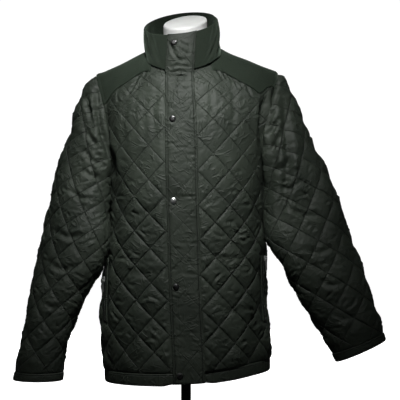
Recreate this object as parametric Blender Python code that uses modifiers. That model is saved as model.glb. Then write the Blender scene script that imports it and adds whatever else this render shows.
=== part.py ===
"""Quilted jacket on a limbless dress form, built as cloth walls over a smooth torso.

Metres, +Z up. The origin is the middle of the base's underside. The jacket faces -Y and +X is the
wearer's left. The sizes and tables below are in millimetres, and MM turns them into metres.
"""

import math

import bmesh
import bpy
import numpy as np
from mathutils import Matrix, Vector

MM = 0.001

# Cloth
WALL = 2.0  # quilted cloth at its stitch lines
PUFF = 5.0  # how far a quilted diamond stands out at its middle
SEAM_GAP = 0.3
LAY_GAP = 0.6  # under a piece that lies on another
BAND_WALL = 3.0
COLLAR_WALL = 3.0
PATCH_WALL = 2.0
FLAP_WALL = 2.4
FLAP_PUFF = 2.0

# Quilting: a diamond is four cells wide and four cells tall
CELL_ACROSS = 18.0
CELL_ALONG = 19.0
FRONT_PHASE = {-1: 10, 1: 9}  # row of a crossing on every fourth column
BACK_PHASE = 9

# Body rows and columns
FIRST_LEVEL = 182.0
LEVEL_ROWS = 29
ARMPIT_ROW = 21  # row of the panels' grids, counted from the hem seam
CHEST_ROWS = 5
YOKE_ROWS = 4
COLUMNS = 15
COVERED_COLUMNS = 2  # columns next to the opening that the flap covers
FLAT_COLUMNS = 4  # columns next to the armhole with no puff below the armpit
FITTED_COLUMNS = 5  # columns next to the side seam and armhole that take up the width
SQUEEZED_ROWS = 12  # rows below the armpit where body and sleeve press each other flat
SQUARENESS = 2.3
LINE_STEPS = 140
OVERRUN = 25.0  # degrees that an outline runs past the middle of the front

# Body outline by height: half widths at the wearer's right and left, depths in front and behind,
# and how far the front opening lies from the middle
RIGHT, LEFT, FRONT, BACK, OPENING = 1, 2, 3, 4, 5
BODY = [
    (120, 183, 190, 146, 138, 6),
    (180, 185, 190, 147, 138, 5),
    (240, 189, 187, 147, 137, 2),
    (300, 189, 182, 147, 135, -1),
    (350, 187, 181, 146, 134, -3),
    (410, 180, 181, 145, 133, -5),
    (470, 174, 179, 144, 133, -6),
    (520, 171, 177, 143, 134, -8),
    (562, 170, 176, 142, 136, -9),
    (620, 173, 178, 139, 138, -10),
    (680, 179, 183, 133, 137, -11),
    (720, 185, 189, 126, 133, -11),
]
# Lower edge of the hem by the turn from the middle of the front, in degrees towards the left
HEM = [(-180, 138), (-90, 127), (-55, 129), (0, 133), (30, 141), (55, 150), (90, 152), (180, 138)]
HEM_BAND = 24.0

# Half width of the armhole in front of and behind the side seam, by height
ARMHOLE_FRONT, ARMHOLE_BACK = 1, 2
ARMHOLE = [(562, 0, 0), (580, 22, 24), (600, 36, 40), (625, 44, 50), (660, 47, 54), (720, 43, 50)]

# Shoulder seams and neckline
SHOULDER_NECK = {-1: (-83.0, -2.0, 872.0), 1: (78.0, -2.0, 879.0)}
SHOULDER_TIP = {-1: (-206.0, 5.0, 819.5), 1: (211.0, 5.0, 823.0)}
NECK_COLUMNS = 5
NECK_FRONT_Y = -96.0
NECK_BACK_Y = 74.0
NECK_FRONT_Z = 818.0
NECK_BACK_Z = 892.0
NECK_OPENING = -13.0
CORNER_FAN = math.radians(24)  # turn of the column that runs into the corner at the neck
FAN_SHARE = 0.35  # of the shoulder seam, over which the columns straighten
# Directions in which the columns leave the top edge, as shares sideways, away from the middle of the
# body's depth, and up
NECK_WAY_FRONT = (0.0, 0.38, -0.85)
NECK_WAY_BACK = (0.0, 0.6, -0.85)
NECK_WAY_CORNER = (0.38, 0.85, -0.24)
SHOULDER_WAY_DROP = 0.05
# Run of a panel's columns over the chest and shoulder: rise off the chest, reach off the seam, and
# the share of the run where the shoulder patch begins, in front and behind
RISE, REACH, PATCH_FRONT, PATCH_BACK = 1, 2, 3, 4
YOKE = [
    (0, 45, 35, 0.90, 0.90),
    (2, 45, 38, 0.86, 0.87),
    (3, 46, 42, 0.80, 0.83),
    (4, 48, 47, 0.70, 0.76),
    (5, 51, 51, 0.61, 0.69),
    (6, 54, 55, 0.54, 0.62),
    (8, 56, 58, 0.45, 0.53),
    (11, 50, 52, 0.36, 0.42),
    (15, 40, 28, 0.31, 0.36),
]
PATCH_FIRST_COLUMN = 3
PATCH_INSET = 6.5  # from the collar's seam
PATCH_SLEEVE_INSET = 2.5
PATCH_GAP = 0.9

# Sleeve rings from the cuff up: middle x, y, z, half width, half depth, tilt in degrees, and how
# far the inner side lies forward of the middle
SLEEVE_SIDES = 24
SLEEVE_REGULAR = 6  # columns on each side of the outer line that are a cell wide
SLEEVE_PHASE = -1
UNDER_ARM_COLUMNS = 3  # on each side of the under-arm line, with no puff near the armpit
SLEEVES = {
    -1: [
        (331.5, -72, 132.0, 52.0, 42, 0.0, 0),
        (320.5, -66, 198, 48.5, 45, 0.0, 0),
        (306.0, -60, 259, 52.5, 48, 2.0, 3),
        (289.5, -53, 317, 59.0, 52, 5.0, 9),
        (274.5, -46, 361, 66.5, 56, 9.0, 17),
        (261.0, -41, 399, 72.5, 60, 12.0, 24),
        (251.0, -36, 442, 74.0, 62, 13.5, 28),
        (243.0, -29, 483, 73.4, 63, 14.5, 28),
        (241.0, -20, 524, 67.5, 63, 15.0, 22),
        (235.6, -13, 556, 65.6, 62, 15.5, 20),
    ],
    1: [
        (393.0, -75, 198, 57.2, 40, 24.0, 0),
        (372.5, -68, 249, 61.4, 42, 19.5, 0),
        (354.0, -62, 290, 68.0, 44, 18.0, 3),
        (336.0, -55, 332, 74.0, 47, 18.0, 8),
        (318.0, -50, 370, 78.4, 50, 18.0, 14),
        (299.0, -44, 411, 82.0, 53, 18.5, 20),
        (284.0, -39, 442, 85.0, 55, 18.5, 24),
        (266.5, -31, 480, 89.5, 58, 19.0, 25),
        (257.0, -20, 524, 83.5, 60, 19.5, 22),
        (250.0, -13, 560, 77.2, 61, 20.0, 20),
    ],
}
CUFF_BAND = 19.0
CAP_CLEAR = 12.0  # least length of a sleeve column's last cell, at the armhole
# Directions in which a sleeve's columns leave the armhole, as shares sideways, forward and up: at its
# front, and what its top and the armpit add
CAP_WAY = (0.62, 0.6, -0.3)
CAP_WAY_TOP = (-0.06, 0.0, -0.5)
CAP_WAY_UNDER = (-0.3, 0.0, -0.65)
CAP_RISE = 0.38  # reach of the curve's ends, as shares of the cap's length
CAP_REACH = 0.3
CAP_REACH_MOST = 34.0

# Collar rim, an ellipse tilted forward and rolled towards the wearer's right
RIM_MIDDLE = (-12.0, -6.0, 941.0)
RIM_HALF_WIDTH = 83.0
RIM_HALF_DEPTH = 84.0
RIM_PITCH = 24.0
RIM_ROLL = 8.0
COLLAR_SIDES = 30
COLLAR_ROWS = 4
COLLAR_BULGE = 3.0
COLLAR_GAP = 1.8  # under the collar's foot

# Storm flap
FLAP_HALF_WIDTH = 33.0
FLAP_COLUMNS = 4
FLAP_PHASE = 2
FLAP_REACH = 5  # columns of each front, and of the collar, that the flap's rows are laid over
FLAP_FOOT_ROWS = 3  # rows that clear the hem band
FLAP_CHEST_GAP = 1.2
SNAP_OFFSET = -17.0  # from the flap's middle, towards its free edge
SNAP_HEIGHTS = (151.0, 346.0, 534.0, 714.0)
COLLAR_SNAP_SHARE = 0.80  # of the collar's height
SNAP_RADIUS = 7.0
SNAP_THICKNESS = 2.8
SNAP_PROFILE = [(0, 1), (0.55, 0.93), (0.9, 0.6), (1, 0.3), (1, 0), (0, 0)]  # radius and height
SNAP_SIDES = 16
SNAP_CLEAR = 17.5  # that the flap's puff keeps from a snap's middle

# Side pockets: middle of the zip along the front's arc, and its run in height
POCKET_ARC = 214.0
POCKET_LOW = 262.0
POCKET_HIGH = 410.0
POCKET_COLUMNS = range(COLUMNS - 4, COLUMNS - 1)  # that a pocket lies over or beside
ZIP_WIDTH = 7.0
WELT_WIDTH = 12.0
ZIP_WALL = 1.6
SLIDER_HEIGHT = {-1: 357.0, 1: 404.0}
SLIDER_SIZE = (7.0, 12.0, 2.4)  # across, along the zip, thick
SLIDER_EDGE = 0.6
BRIDGE_WIDTH = 2.6
BRIDGE_HEIGHT = 4.6
BRIDGE_LENGTH = 9.0
BRIDGE_BAR = 1.3
BRIDGE_SINK = 1.0  # that the bridge reaches into the plate
WINDOW_CLEAR = 0.01  # of the bridge's window from the plate's face
PULL_WIRE = 1.4
PULL_WIDTH = 9.0
PULL_LENGTH = 30.0
PULL_CORNER = 1.6
PULL_SIDE_POINTS = (0.35, 0.7)
PULL_ROUND = 8  # steps of its round end

# Dress form: height, half width, depth in front and behind, and middle y
FORM_SIDES = 32
FORM = [
    (232, 150, 104, 100, 0),
    (262, 158, 110, 104, 0),
    (330, 160, 112, 104, 0),
    (420, 150, 106, 100, 0),
    (500, 152, 112, 104, 0),
    (600, 160, 120, 110, 0),
    (680, 166, 116, 112, 0),
    (740, 174, 96, 104, 0),
    (790, 188, 62, 78, 2),
]
FORM_TOP_SHOULDER = 196.0  # half width where the form first carries the shoulder seams
FORM_LAST_SHOULDER = 94.0  # and where it last does
FORM_SHOULDER_RINGS = 5
FORM_SHOULDER_DEPTH = 34.0
FORM_NECK_DEPTH = 36.0
FORM_NECK_FOOT = [(875, 66, 46, 44, -6), (889, 54, 51, 50, -12)]
FORM_RIDGE = 1.6  # over one, the form's shoulders are ridged rather than round
FORM_NECK_RADIUS = 50.0
FORM_NECK_X = -1.7
FORM_NECK_Y = -14.0
FORM_NECK_BASE = 905.0
FORM_NECK_TOP = 944.0
FORM_NECK_PITCH = 22.0
FORM_NECK_ROLL = 8.0
FORM_EDGE = 4.0
FORM_EDGE_BEND = 0.3  # share of the edge at the bevel's middle ring
SEAT_GAP = 1.0  # between the shoulder seams' underside and the form
POLE_RADIUS = 11.5
POLE_SIDES = 24
BASE_RADIUS = 150.0
BASE_THICKNESS = 12.0
BASE_EDGE = 4.0
BASE_SIDES = 40

COLOURS = {
    "nylon": (0.022, 0.027, 0.021),
    "brushed cloth": (0.024, 0.034, 0.024),
    "dark metal": (0.08, 0.08, 0.08),
    "form plastic": (0.80, 0.80, 0.79),
    "stand metal": (0.02, 0.02, 0.02),
}
FINISH = {
    "nylon": (0.45, 0.0),
    "brushed cloth": (0.85, 0.0),
    "dark metal": (0.35, 1.0),
    "form plastic": (0.4, 0.0),
    "stand metal": (0.35, 0.8),
}


# ---------------------------------------------------------------- helpers


def collection(name):
    """A new collection, linked to the scene."""
    made = bpy.data.collections.new(name)
    bpy.context.scene.collection.children.link(made)
    return made


def material(name):
    """One shared material from the tables of colours and finishes."""
    made = bpy.data.materials.get(name)
    if made is None:
        made = bpy.data.materials.new(name)
        made.use_nodes = True
        shader = made.node_tree.nodes["Principled BSDF"]
        roughness, metallic = FINISH[name]
        shader.inputs["Base Color"].default_value = (*COLOURS[name], 1.0)
        shader.inputs["Roughness"].default_value = roughness
        shader.inputs["Metallic"].default_value = metallic
    return made


def add_object(name, mesh, finish):
    """Puts a mesh in the part's collection under its node name."""
    made = bpy.data.objects.new(name, mesh)
    PART.objects.link(made)
    mesh.materials.clear()
    mesh.materials.append(material(finish))
    return made


def smooth(table, column, where):
    """One column of a table as a smooth curve over its first column."""
    rows = np.array(table, float)
    knots = rows[:, 0]
    values = rows[:, column]
    slopes = np.gradient(values, knots)
    where = np.clip(where, knots[0], knots[-1])
    low = np.clip(np.searchsorted(knots, where, side="right") - 1, 0, len(knots) - 2)
    span = knots[low + 1] - knots[low]
    t = (where - knots[low]) / span
    rise = values[low + 1] - values[low]
    start = span * slopes[low]
    end = span * slopes[low + 1]
    return values[low] + t * (start + t * (3 * rise - 2 * start - end + t * (start + end - 2 * rise)))


def lerp(a, b, share):
    """Point or number that lies a share of the way from a to b."""
    return a + (b - a) * share


def unit(vector):
    """The vector at length one."""
    vector = np.asarray(vector, float)
    return vector / np.linalg.norm(vector, axis=-1, keepdims=True)


def lengths(points):
    """Distance along a row of points, from its first."""
    steps = np.linalg.norm(np.diff(points, axis=0), axis=1)
    return np.concatenate([[0.0], np.cumsum(steps)])


def along(points, where):
    """Points at given distances along a row of points."""
    run = lengths(points)
    return np.stack([np.interp(where, run, points[:, k]) for k in range(3)], axis=-1)


def bezier(p0, p1, p2, p3, shares):
    """Points of a cubic curve at equal shares of its length."""
    t = np.linspace(0, 1, LINE_STEPS)[:, None]
    points = p0 * (1 - t) ** 3 + 3 * p1 * t * (1 - t) ** 2 + 3 * p2 * t**2 * (1 - t) + p3 * t**3
    return along(points, np.asarray(shares) * lengths(points)[-1])


def normals(grid, outward):
    """Unit normals of a grid of points, pointing the way that outward points at its middle."""
    made = np.zeros_like(grid)
    a, b, c, d = grid[:-1, :-1], grid[1:, :-1], grid[1:, 1:], grid[:-1, 1:]
    face = np.cross(c - a, d - b)
    for i, j in ((0, 0), (1, 0), (1, 1), (0, 1)):
        made[i : i + face.shape[0], j : j + face.shape[1]] += face
    made = unit(made)
    middle = made[made.shape[0] // 2, made.shape[1] // 2]
    return made if np.dot(middle, outward) > 0 else -made


def weave(columns, first=0, phase=0, closed=False, fine=None):
    """Triangles over columns of points, with the columns' tops free to end on different rows.

    Points off the quilt's lattice are left out inside the sheet, but not where fine(i, j) is true.
    Gives the points, the faces, and each point's column and row.
    """
    number = {}
    points = []
    for i, column in enumerate(columns):
        for j, point in enumerate(column):
            number[i, j] = len(points)
            points.append(point)
    places = list(number)
    faces = []
    for i in range(len(columns) - (0 if closed else 1)):
        k = (i + 1) % len(columns)
        left = len(columns[i]) - 1
        right = len(columns[k]) - 1
        for j in range(max(left, right)):
            a = number[i, min(j, left)]
            b = number[k, min(j, right)]
            c = number[k, min(j + 1, right)]
            d = number[i, min(j + 1, left)]
            even = (first + i + j - phase) % 2 == 0
            halves = [(a, b, c), (a, c, d)] if even else [(a, b, d), (b, c, d)]
            faces += [face for face in halves if len(set(face)) == 3]
    around = {}
    for face in faces:
        for corner in face:
            around.setdefault(corner, []).append(face)
    gone = set()
    replaced = set()
    added = []
    for (i, j), centre in number.items():
        odd = (first + i + j - phase) % 2 == 1
        fan = around[centre]
        if not odd or len(fan) != 4 or (fine and fine(i, j)):
            continue
        follows = {}
        for face in fan:
            spot = face.index(centre)
            follows[face[(spot + 1) % 3]] = face[(spot + 2) % 3]
        ring = [next(iter(follows))]
        while len(ring) < 5 and ring[-1] in follows:
            ring.append(follows[ring[-1]])
        closed_ring = len(ring) == 5 and ring[0] == ring[4] and len(set(ring)) == 4
        if not closed_ring or gone & set(ring):
            continue
        west_i, west_j = places[ring[0]]
        ends = lattice_kind(first + west_i, west_j - phase)
        w, x, y, z = ring[:4] if ends[0] == ends[1] else ring[1:5]
        added += [(w, x, y), (w, y, z)]
        gone.add(centre)
        replaced.update(fan)
    faces = [face for face in faces if face not in replaced] + added
    kept = [index for index in range(len(points)) if index not in gone]
    renumber = {old: new for new, old in enumerate(kept)}
    faces = [tuple(renumber[corner] for corner in face) for face in faces]
    return [points[index] for index in kept], faces, [places[index] for index in kept]


def lattice_kind(i, j):
    """Place of a lattice point in the quilting: (0, 0) is a crossing and (2, 2) a diamond's middle."""
    return (i + j) % 4, (i - j) % 4


def wall(name, points, faces, thickness, finish, outward, relief=None):
    """A closed cloth wall: an open sheet made thick by Solidify, more where it is puffed.

    outward is a point's number and the direction that its outer side faces.
    """
    mesh = bpy.data.meshes.new(name)
    mesh.from_pydata([Vector(point) * MM for point in points], [], faces)
    index, direction = outward
    if mesh.vertices[index].normal.dot(Vector(direction)) < 0:
        mesh.flip_normals()
    made = add_object(name, mesh, finish)
    extra = relief if relief is not None else [0.0] * len(points)
    full = thickness + max(extra)
    group = made.vertex_groups.new(name="thickness")
    for vertex, height in enumerate(extra):
        group.add([vertex], (thickness + height) / full, "REPLACE")
    solid = made.modifiers.new("Cloth", "SOLIDIFY")
    solid.thickness = full * MM
    solid.offset = 1.0
    solid.vertex_group = group.name
    solid.use_quality_normals = True
    return made


# ---------------------------------------------------------------- body surface


def outline(z, turn):
    """Body outline at height z, in millimetres: turn 0 is the front, and a right angle the left."""
    sine = np.sin(turn)
    cosine = np.cos(turn)
    half_width = np.where(sine > 0, smooth(BODY, LEFT, z), smooth(BODY, RIGHT, z))
    depth = np.where(cosine > 0, smooth(BODY, FRONT, z), smooth(BODY, BACK, z))
    power = 2 / SQUARENESS
    x = half_width * np.sign(sine) * np.abs(sine) ** power
    y = -depth * np.sign(cosine) * np.abs(cosine) ** power
    return np.stack([x, y, np.full_like(x, z)], axis=-1)


def level_line(z, side, back):
    """Outline from just past the middle to the side, with its distances from the middle."""
    turn = np.radians(np.linspace(-OVERRUN, 90, LINE_STEPS))
    turn = math.pi - turn if back else turn
    points = outline(z, side * turn)
    run = lengths(points)
    middle = np.interp(0.0, side * points[:, 0], run)
    return points, run - middle


def panel_arcs(z, side, back):
    """Distances from the middle of every column of a half panel at height z."""
    points, run = level_line(z, side, back)
    column = ARMHOLE_BACK if back else ARMHOLE_FRONT
    opening = 0.0 if back else side * float(smooth(BODY, OPENING, z))
    edge = max(float(smooth(ARMHOLE, column, z)), SEAM_GAP / 2)
    depth = points[:, 1] if back else -points[:, 1]
    end = np.interp(-edge, -depth, run)
    arcs = np.arange(COLUMNS + 1) * CELL_ACROSS + opening
    arcs[0] += 0.0 if back else SEAM_GAP / 2
    start = arcs[COLUMNS - FITTED_COLUMNS]
    shares = np.arange(1, FITTED_COLUMNS + 1) / FITTED_COLUMNS
    arcs[-FITTED_COLUMNS:] = lerp(start, end, shares)
    return arcs


def panel_level(z, side, back):
    """Points of a half panel's columns at height z."""
    points, run = level_line(z, side, back)
    arcs = panel_arcs(z, side, back)
    return np.stack([np.interp(arcs, run, points[:, k]) for k in range(3)], axis=-1)


def panel_point(z, side, back, column):
    """One point of a half panel."""
    return panel_level(z, side, back)[column]


def hem_height(side, back, column):
    """Height of the hem's lower edge at a column."""
    turn = 90 * column / COLUMNS
    turn = 180 - turn if back else turn
    return float(smooth(HEM, 1, side * turn))


def top_edge(side, back, column):
    """Where a column ends on the neckline or shoulder seam, and its direction away from there."""
    tip = np.array(SHOULDER_TIP[side])
    neck = np.array(SHOULDER_NECK[side])
    facing = 1 if back else -1
    seam = np.array([0.0, facing * SEAM_GAP / 2, 0.0])
    if column >= NECK_COLUMNS:
        share = (column - NECK_COLUMNS) / (COLUMNS - NECK_COLUMNS)
        fan = CORNER_FAN * max(1 - share / FAN_SHARE, 0.0) ** 2
        slope = (tip[2] - neck[2]) / abs(tip[0] - neck[0])
        drop = slope * math.sin(fan) - SHOULDER_WAY_DROP
        way = [side * math.sin(fan), facing * math.cos(fan), drop]
        return lerp(neck, tip, share) + seam, unit(way)
    turn = math.radians(90 * column / NECK_COLUMNS)
    end_y = NECK_BACK_Y if back else NECK_FRONT_Y
    end_z = NECK_BACK_Z if back else NECK_FRONT_Z
    opening = 0.0 if back else NECK_OPENING + side * SEAM_GAP / 2
    point = np.array(
        [
            neck[0] * math.sin(turn) + opening * math.cos(turn),
            lerp(end_y, neck[1], 1 - math.cos(turn)),
            lerp(end_z, neck[2], math.sin(turn) ** 2),
        ]
    )
    steep = np.array(NECK_WAY_BACK if back else NECK_WAY_FRONT)
    way = lerp(steep, np.array(NECK_WAY_CORNER), math.sin(turn) ** 2) * (side, facing, 1)
    return point + seam * math.sin(turn), unit(way)


def half_panel(side, back):
    """Grid of points, columns by rows, from the hem seam up to the neckline and shoulder."""
    hem = [
        panel_point(hem_height(side, back, i) + HEM_BAND, side, back, i) for i in range(COLUMNS + 1)
    ]
    levels = [FIRST_LEVEL + CELL_ALONG * k for k in range(LEVEL_ROWS)]
    rows = [np.array(hem)] + [panel_level(z, side, back) for z in levels]
    low, chest = rows[-2], rows[-1]
    grid = np.zeros((COLUMNS + 1, len(rows) + CHEST_ROWS + YOKE_ROWS, 3))
    for i in range(COLUMNS + 1):
        end, way = top_edge(side, back, i)
        split = float(smooth(YOKE, PATCH_BACK if back else PATCH_FRONT, i))
        chest_shares = np.linspace(0, split, CHEST_ROWS + 1)[1:]
        yoke_shares = np.linspace(split, 1, YOKE_ROWS + 1)[1:]
        rise = unit(chest[i] - low[i]) * float(smooth(YOKE, RISE, i))
        reach = way * float(smooth(YOKE, REACH, i))
        run = bezier(
            chest[i], chest[i] + rise, end + reach, end, [*chest_shares, *yoke_shares]
        )
        grid[i] = np.concatenate([[row[i] for row in rows], run])
    return grid


def pocket_row(row):
    """True on the level rows beside a side pocket."""
    z = FIRST_LEVEL + CELL_ALONG * (row - 1)
    return POCKET_LOW - CELL_ALONG < z < POCKET_HIGH + CELL_ALONG


def pocket_column(column):
    """True on the columns that a side pocket lies over or beside."""
    return column in POCKET_COLUMNS


PATCH_ROW = LEVEL_ROWS + CHEST_ROWS  # the row that the shoulder patches begin on
LAST_ROW = PATCH_ROW + YOKE_ROWS


def panel_relief(places, first, phase, back):
    """Puff of every point of a panel: full at the diamonds' middles, none at edges and fittings."""
    heights = []
    for i, row in places:
        column = abs(first + i)
        middle = lattice_kind(first + i, row - phase) == (2, 2)
        inside = 0 < row < PATCH_ROW and column < COLUMNS
        clear_of_flap = back or column > COVERED_COLUMNS
        clear_of_pocket = back or not (pocket_row(row) and pocket_column(column))
        at_armhole = row > ARMPIT_ROW - SQUEEZED_ROWS and column > COLUMNS - FLAT_COLUMNS
        puffed = middle and inside and clear_of_flap and clear_of_pocket and not at_armhole
        heights.append(PUFF if puffed else 0.0)
    return heights


def build_front(name, side, phase):
    """One front panel, and its grid of points."""
    grid = half_panel(side, back=False)

    def fine(i, j):
        return j >= PATCH_ROW - 1 or (pocket_row(j) and pocket_column(i))

    points, faces, places = weave(grid, 0, phase, fine=fine)
    relief = panel_relief(places, 0, phase, back=False)
    probe = places.index((4, phase))
    wall(name, points, faces, WALL, "nylon", (probe, (0, -1, 0)), relief)
    return grid


def build_back(phase):
    """The back panel in one piece, and its grid of points from the wearer's right to left."""
    right = half_panel(-1, back=True)
    left = half_panel(1, back=True)
    grid = np.concatenate([right[:0:-1], left])

    def fine(i, j):
        return j >= PATCH_ROW - 1

    points, faces, places = weave(grid, -COLUMNS, phase, fine=fine)
    relief = panel_relief(places, -COLUMNS, phase, back=True)
    probe = places.index((COLUMNS, phase))
    wall("back", points, faces, WALL, "nylon", (probe, (0, 1, 0)), relief)
    return grid


# ---------------------------------------------------------------- shoulder patches


def inset(grid, steps):
    """The grid with its end columns and rows drawn in by steps, in millimetres, where over zero."""
    made = grid.copy()
    first_column, last_column, last_row = steps
    for j in range(grid.shape[1]):
        for end, inner, step in ((0, 1, first_column), (-1, -2, last_column)):
            if step:
                made[end, j] += unit(grid[inner, j] - grid[end, j]) * step
    for i in range(grid.shape[0]):
        if last_row[i]:
            made[i, -1] += unit(made[i, -2] - made[i, -1]) * last_row[i]
    return made


def build_patch(name, side, front, back, phases):
    """Shoulder patch from the front and back panels' points, moved out, in one sheet."""
    columns = range(PATCH_FIRST_COLUMN, COLUMNS + 1)
    pull = [PATCH_INSET if i < NECK_COLUMNS else 0.0 for i in columns]
    points = []
    faces = []
    for grid, facing, phase in ((front, -1, phases[0]), (back, 1, phases[1])):
        outer = normals(grid, (0, facing, 0))
        lifted = grid + outer * (WALL + PATCH_GAP)
        part = lifted[PATCH_FIRST_COLUMN:, PATCH_ROW:]
        part = inset(part, (0.0, PATCH_SLEEVE_INSET, pull))
        neck_end = NECK_COLUMNS - PATCH_FIRST_COLUMN
        corner = part[neck_end, -1]
        part[neck_end, -1] = corner + unit(part[neck_end + 1, -1] - corner) * PATCH_INSET
        first = PATCH_FIRST_COLUMN
        sheet_points, sheet_faces, places = weave(
            part, first, phase - PATCH_ROW, fine=lambda i, j: True
        )
        offset = len(points)
        points += sheet_points
        turned = [face if facing * side < 0 else face[::-1] for face in sheet_faces]
        faces += [tuple(corner + offset for corner in face) for face in turned]
        seam = [offset + places.index((i, YOKE_ROWS)) for i in range(neck_end, len(columns))]
        if facing < 0:
            front_seam = seam
    for a, b in zip(front_seam, seam):
        points[a] = (points[a] + points[b]) / 2 + np.array([0.0, 0.0, LAY_GAP])
    joined = dict(zip(seam, front_seam))
    faces = [tuple(joined.get(corner, corner) for corner in face) for face in faces]
    kept = [index for index in range(len(points)) if index not in joined]
    renumber = {old: new for new, old in enumerate(kept)}
    faces = [tuple(renumber[corner] for corner in face) for face in faces]
    points = [points[index] for index in kept]
    middle = front_seam[len(front_seam) // 2]
    wall(name, points, faces, PATCH_WALL, "brushed cloth", (renumber[middle], (0, 0, 1)))


# ---------------------------------------------------------------- sleeves


def sleeve_ring(side, height):
    """Dense ring of a sleeve from its outer line towards the front and round, by station number."""
    table = [(k, *row) for k, row in enumerate(SLEEVES[side])]
    x, y, z, half_width, half_depth, tilt, forward = (
        float(smooth(table, column + 1, height)) for column in range(7)
    )
    turn = np.linspace(0, 2 * math.pi, 4 * LINE_STEPS)
    lean = math.radians(tilt)
    out = np.array([side * math.cos(lean), 0.0, math.sin(lean)])
    middle = np.array([side * x, y, z])
    front = np.array([0.0, -1.0, 0.0])
    return (
        middle
        + np.cos(turn)[:, None] * (half_width * out - forward * front)
        + np.sin(turn)[:, None] * half_depth * front
    )


def sleeve_columns(ring):
    """The ring's points at the sleeve's columns: even round the outer side, fitted underneath."""
    total = lengths(ring)[-1]
    half = total / 2
    arcs = [CELL_ACROSS * i for i in range(SLEEVE_REGULAR + 1)]
    start = arcs[-1]
    rest = SLEEVE_SIDES // 2 - SLEEVE_REGULAR
    arcs += [lerp(start, half, k / rest) for k in range(1, rest + 1)]
    back = [total - arc for arc in arcs[-2:0:-1]]
    return along(ring, [*arcs, *back])


def sleeve_heights(side):
    """Station numbers of the sleeve's rows, a cell apart along its middle line."""
    rows = np.array(SLEEVES[side], float)
    middles = rows[:, :3]
    knots = np.linspace(0, len(rows) - 1, LINE_STEPS)
    table = [(k, *row) for k, row in enumerate(middles)]
    dense = np.stack([smooth(table, column, knots) for column in (1, 2, 3)], axis=-1)
    run = lengths(dense)
    return np.interp(np.arange(0, run[-1], CELL_ALONG), run, knots)


def armhole_edge(grid, facing):
    """Armhole edge from the shoulder tip down to the armpit, lifted clear of the panel's outside."""
    outer = normals(grid, (0, facing, 0))
    below = np.linspace(1, 0, grid.shape[1] - ARMPIT_ROW)[:, None]
    lift = WALL + LAY_GAP + (WALL + LAY_GAP) * below**2
    edge = grid[-1, ARMPIT_ROW:] + outer[-1, ARMPIT_ROW:] * lift
    return edge[::-1]


def build_sleeve(name, side, front, back):
    """A sleeve from its cuff seam up to the armhole, and its two lowest rings for the cuff band."""
    heights = sleeve_heights(side)
    rings = [sleeve_columns(sleeve_ring(side, height)) for height in heights]
    front_edge = armhole_edge(front, -1)
    back_edge = armhole_edge(back, 1)
    half = SLEEVE_SIDES // 2
    columns = []
    for i in range(SLEEVE_SIDES):
        run = [ring[i] for ring in rings[1:]]
        run[0] = run[0] + unit(run[1] - run[0]) * SEAM_GAP
        share = min(i, SLEEVE_SIDES - i) / half
        turn = math.pi * share
        edge = front_edge if i <= half else back_edge
        end = along(edge, share * lengths(edge)[-1])
        toward_front = math.sin(turn) * (1 if i <= half else -1)
        upper = max(math.cos(turn), 0)
        lower = max(-math.cos(turn), 0)
        way = np.array(CAP_WAY) + upper * np.array(CAP_WAY_TOP) + lower * np.array(CAP_WAY_UNDER)
        way = unit(way * (side, -toward_front, 1))
        start = run[-1]
        distance = np.linalg.norm(end - start)
        rise = unit(run[-1] - run[-2]) * distance * CAP_RISE
        reach = way * min(distance * CAP_REACH, CAP_REACH_MOST)
        cap = bezier(start, start + rise, end + reach, end, np.linspace(0, 1, LINE_STEPS))
        reached = lengths(cap)[-1]
        steps = np.arange(CELL_ALONG, reached - CAP_CLEAR, CELL_ALONG)
        columns.append([*run, *along(cap, steps), end])
    points, faces, places = weave(columns, 0, SLEEVE_PHASE, closed=True)
    relief = []
    for i, row in places:
        middle = lattice_kind(i, row - SLEEVE_PHASE) == (2, 2)
        inside = 0 < row < len(columns[i]) - 2
        under = abs(i - half) <= UNDER_ARM_COLUMNS and row > len(columns[half]) - SQUEEZED_ROWS
        relief.append(PUFF if middle and inside and not under else 0.0)
    probe = places.index((0, 3))
    wall(name, points, faces, WALL, "nylon", (probe, (side, 0, 0)), relief)
    return rings[:2]


def build_cuff(name, side, rings):
    """Plain band round the cuff."""
    low, high = rings
    columns = [[low[i], high[i]] for i in range(SLEEVE_SIDES)]
    points, faces, places = weave(columns, closed=True)
    probe = places.index((0, 0))
    wall(name, points, faces, BAND_WALL, "nylon", (probe, (side, 0, 0)))


# ---------------------------------------------------------------- collar, bands and flap


def rim_point(turn):
    """Point of the collar's rim: turn 0 is its front, and a right angle its left."""
    pitch = Matrix.Rotation(math.radians(RIM_PITCH), 3, "X")
    roll = Matrix.Rotation(-math.radians(RIM_ROLL), 3, "Y")
    flat = Vector((RIM_HALF_WIDTH * math.sin(turn), -RIM_HALF_DEPTH * math.cos(turn), 0))
    return np.array(RIM_MIDDLE) + np.array(roll @ pitch @ flat)


def neckline(fronts, back):
    """The neckline lifted off the panels: a loop from the opening's left side round to its right."""
    loop = []
    pieces = ((fronts[1], -1, 1), (back, 1, -1), (fronts[-1], -1, -1))
    for grid, facing, order in pieces:
        outer = normals(grid, (0, facing, 0))
        lifted = grid + outer * (WALL + COLLAR_GAP)
        if grid is back:
            edge = lifted[COLUMNS - NECK_COLUMNS + 1 : COLUMNS + NECK_COLUMNS, -1][::-1]
        elif order == 1:
            edge = lifted[: NECK_COLUMNS + 1, -1]
        else:
            edge = lifted[NECK_COLUMNS::-1, -1]
        loop.append(edge)
    return np.concatenate(loop)


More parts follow.
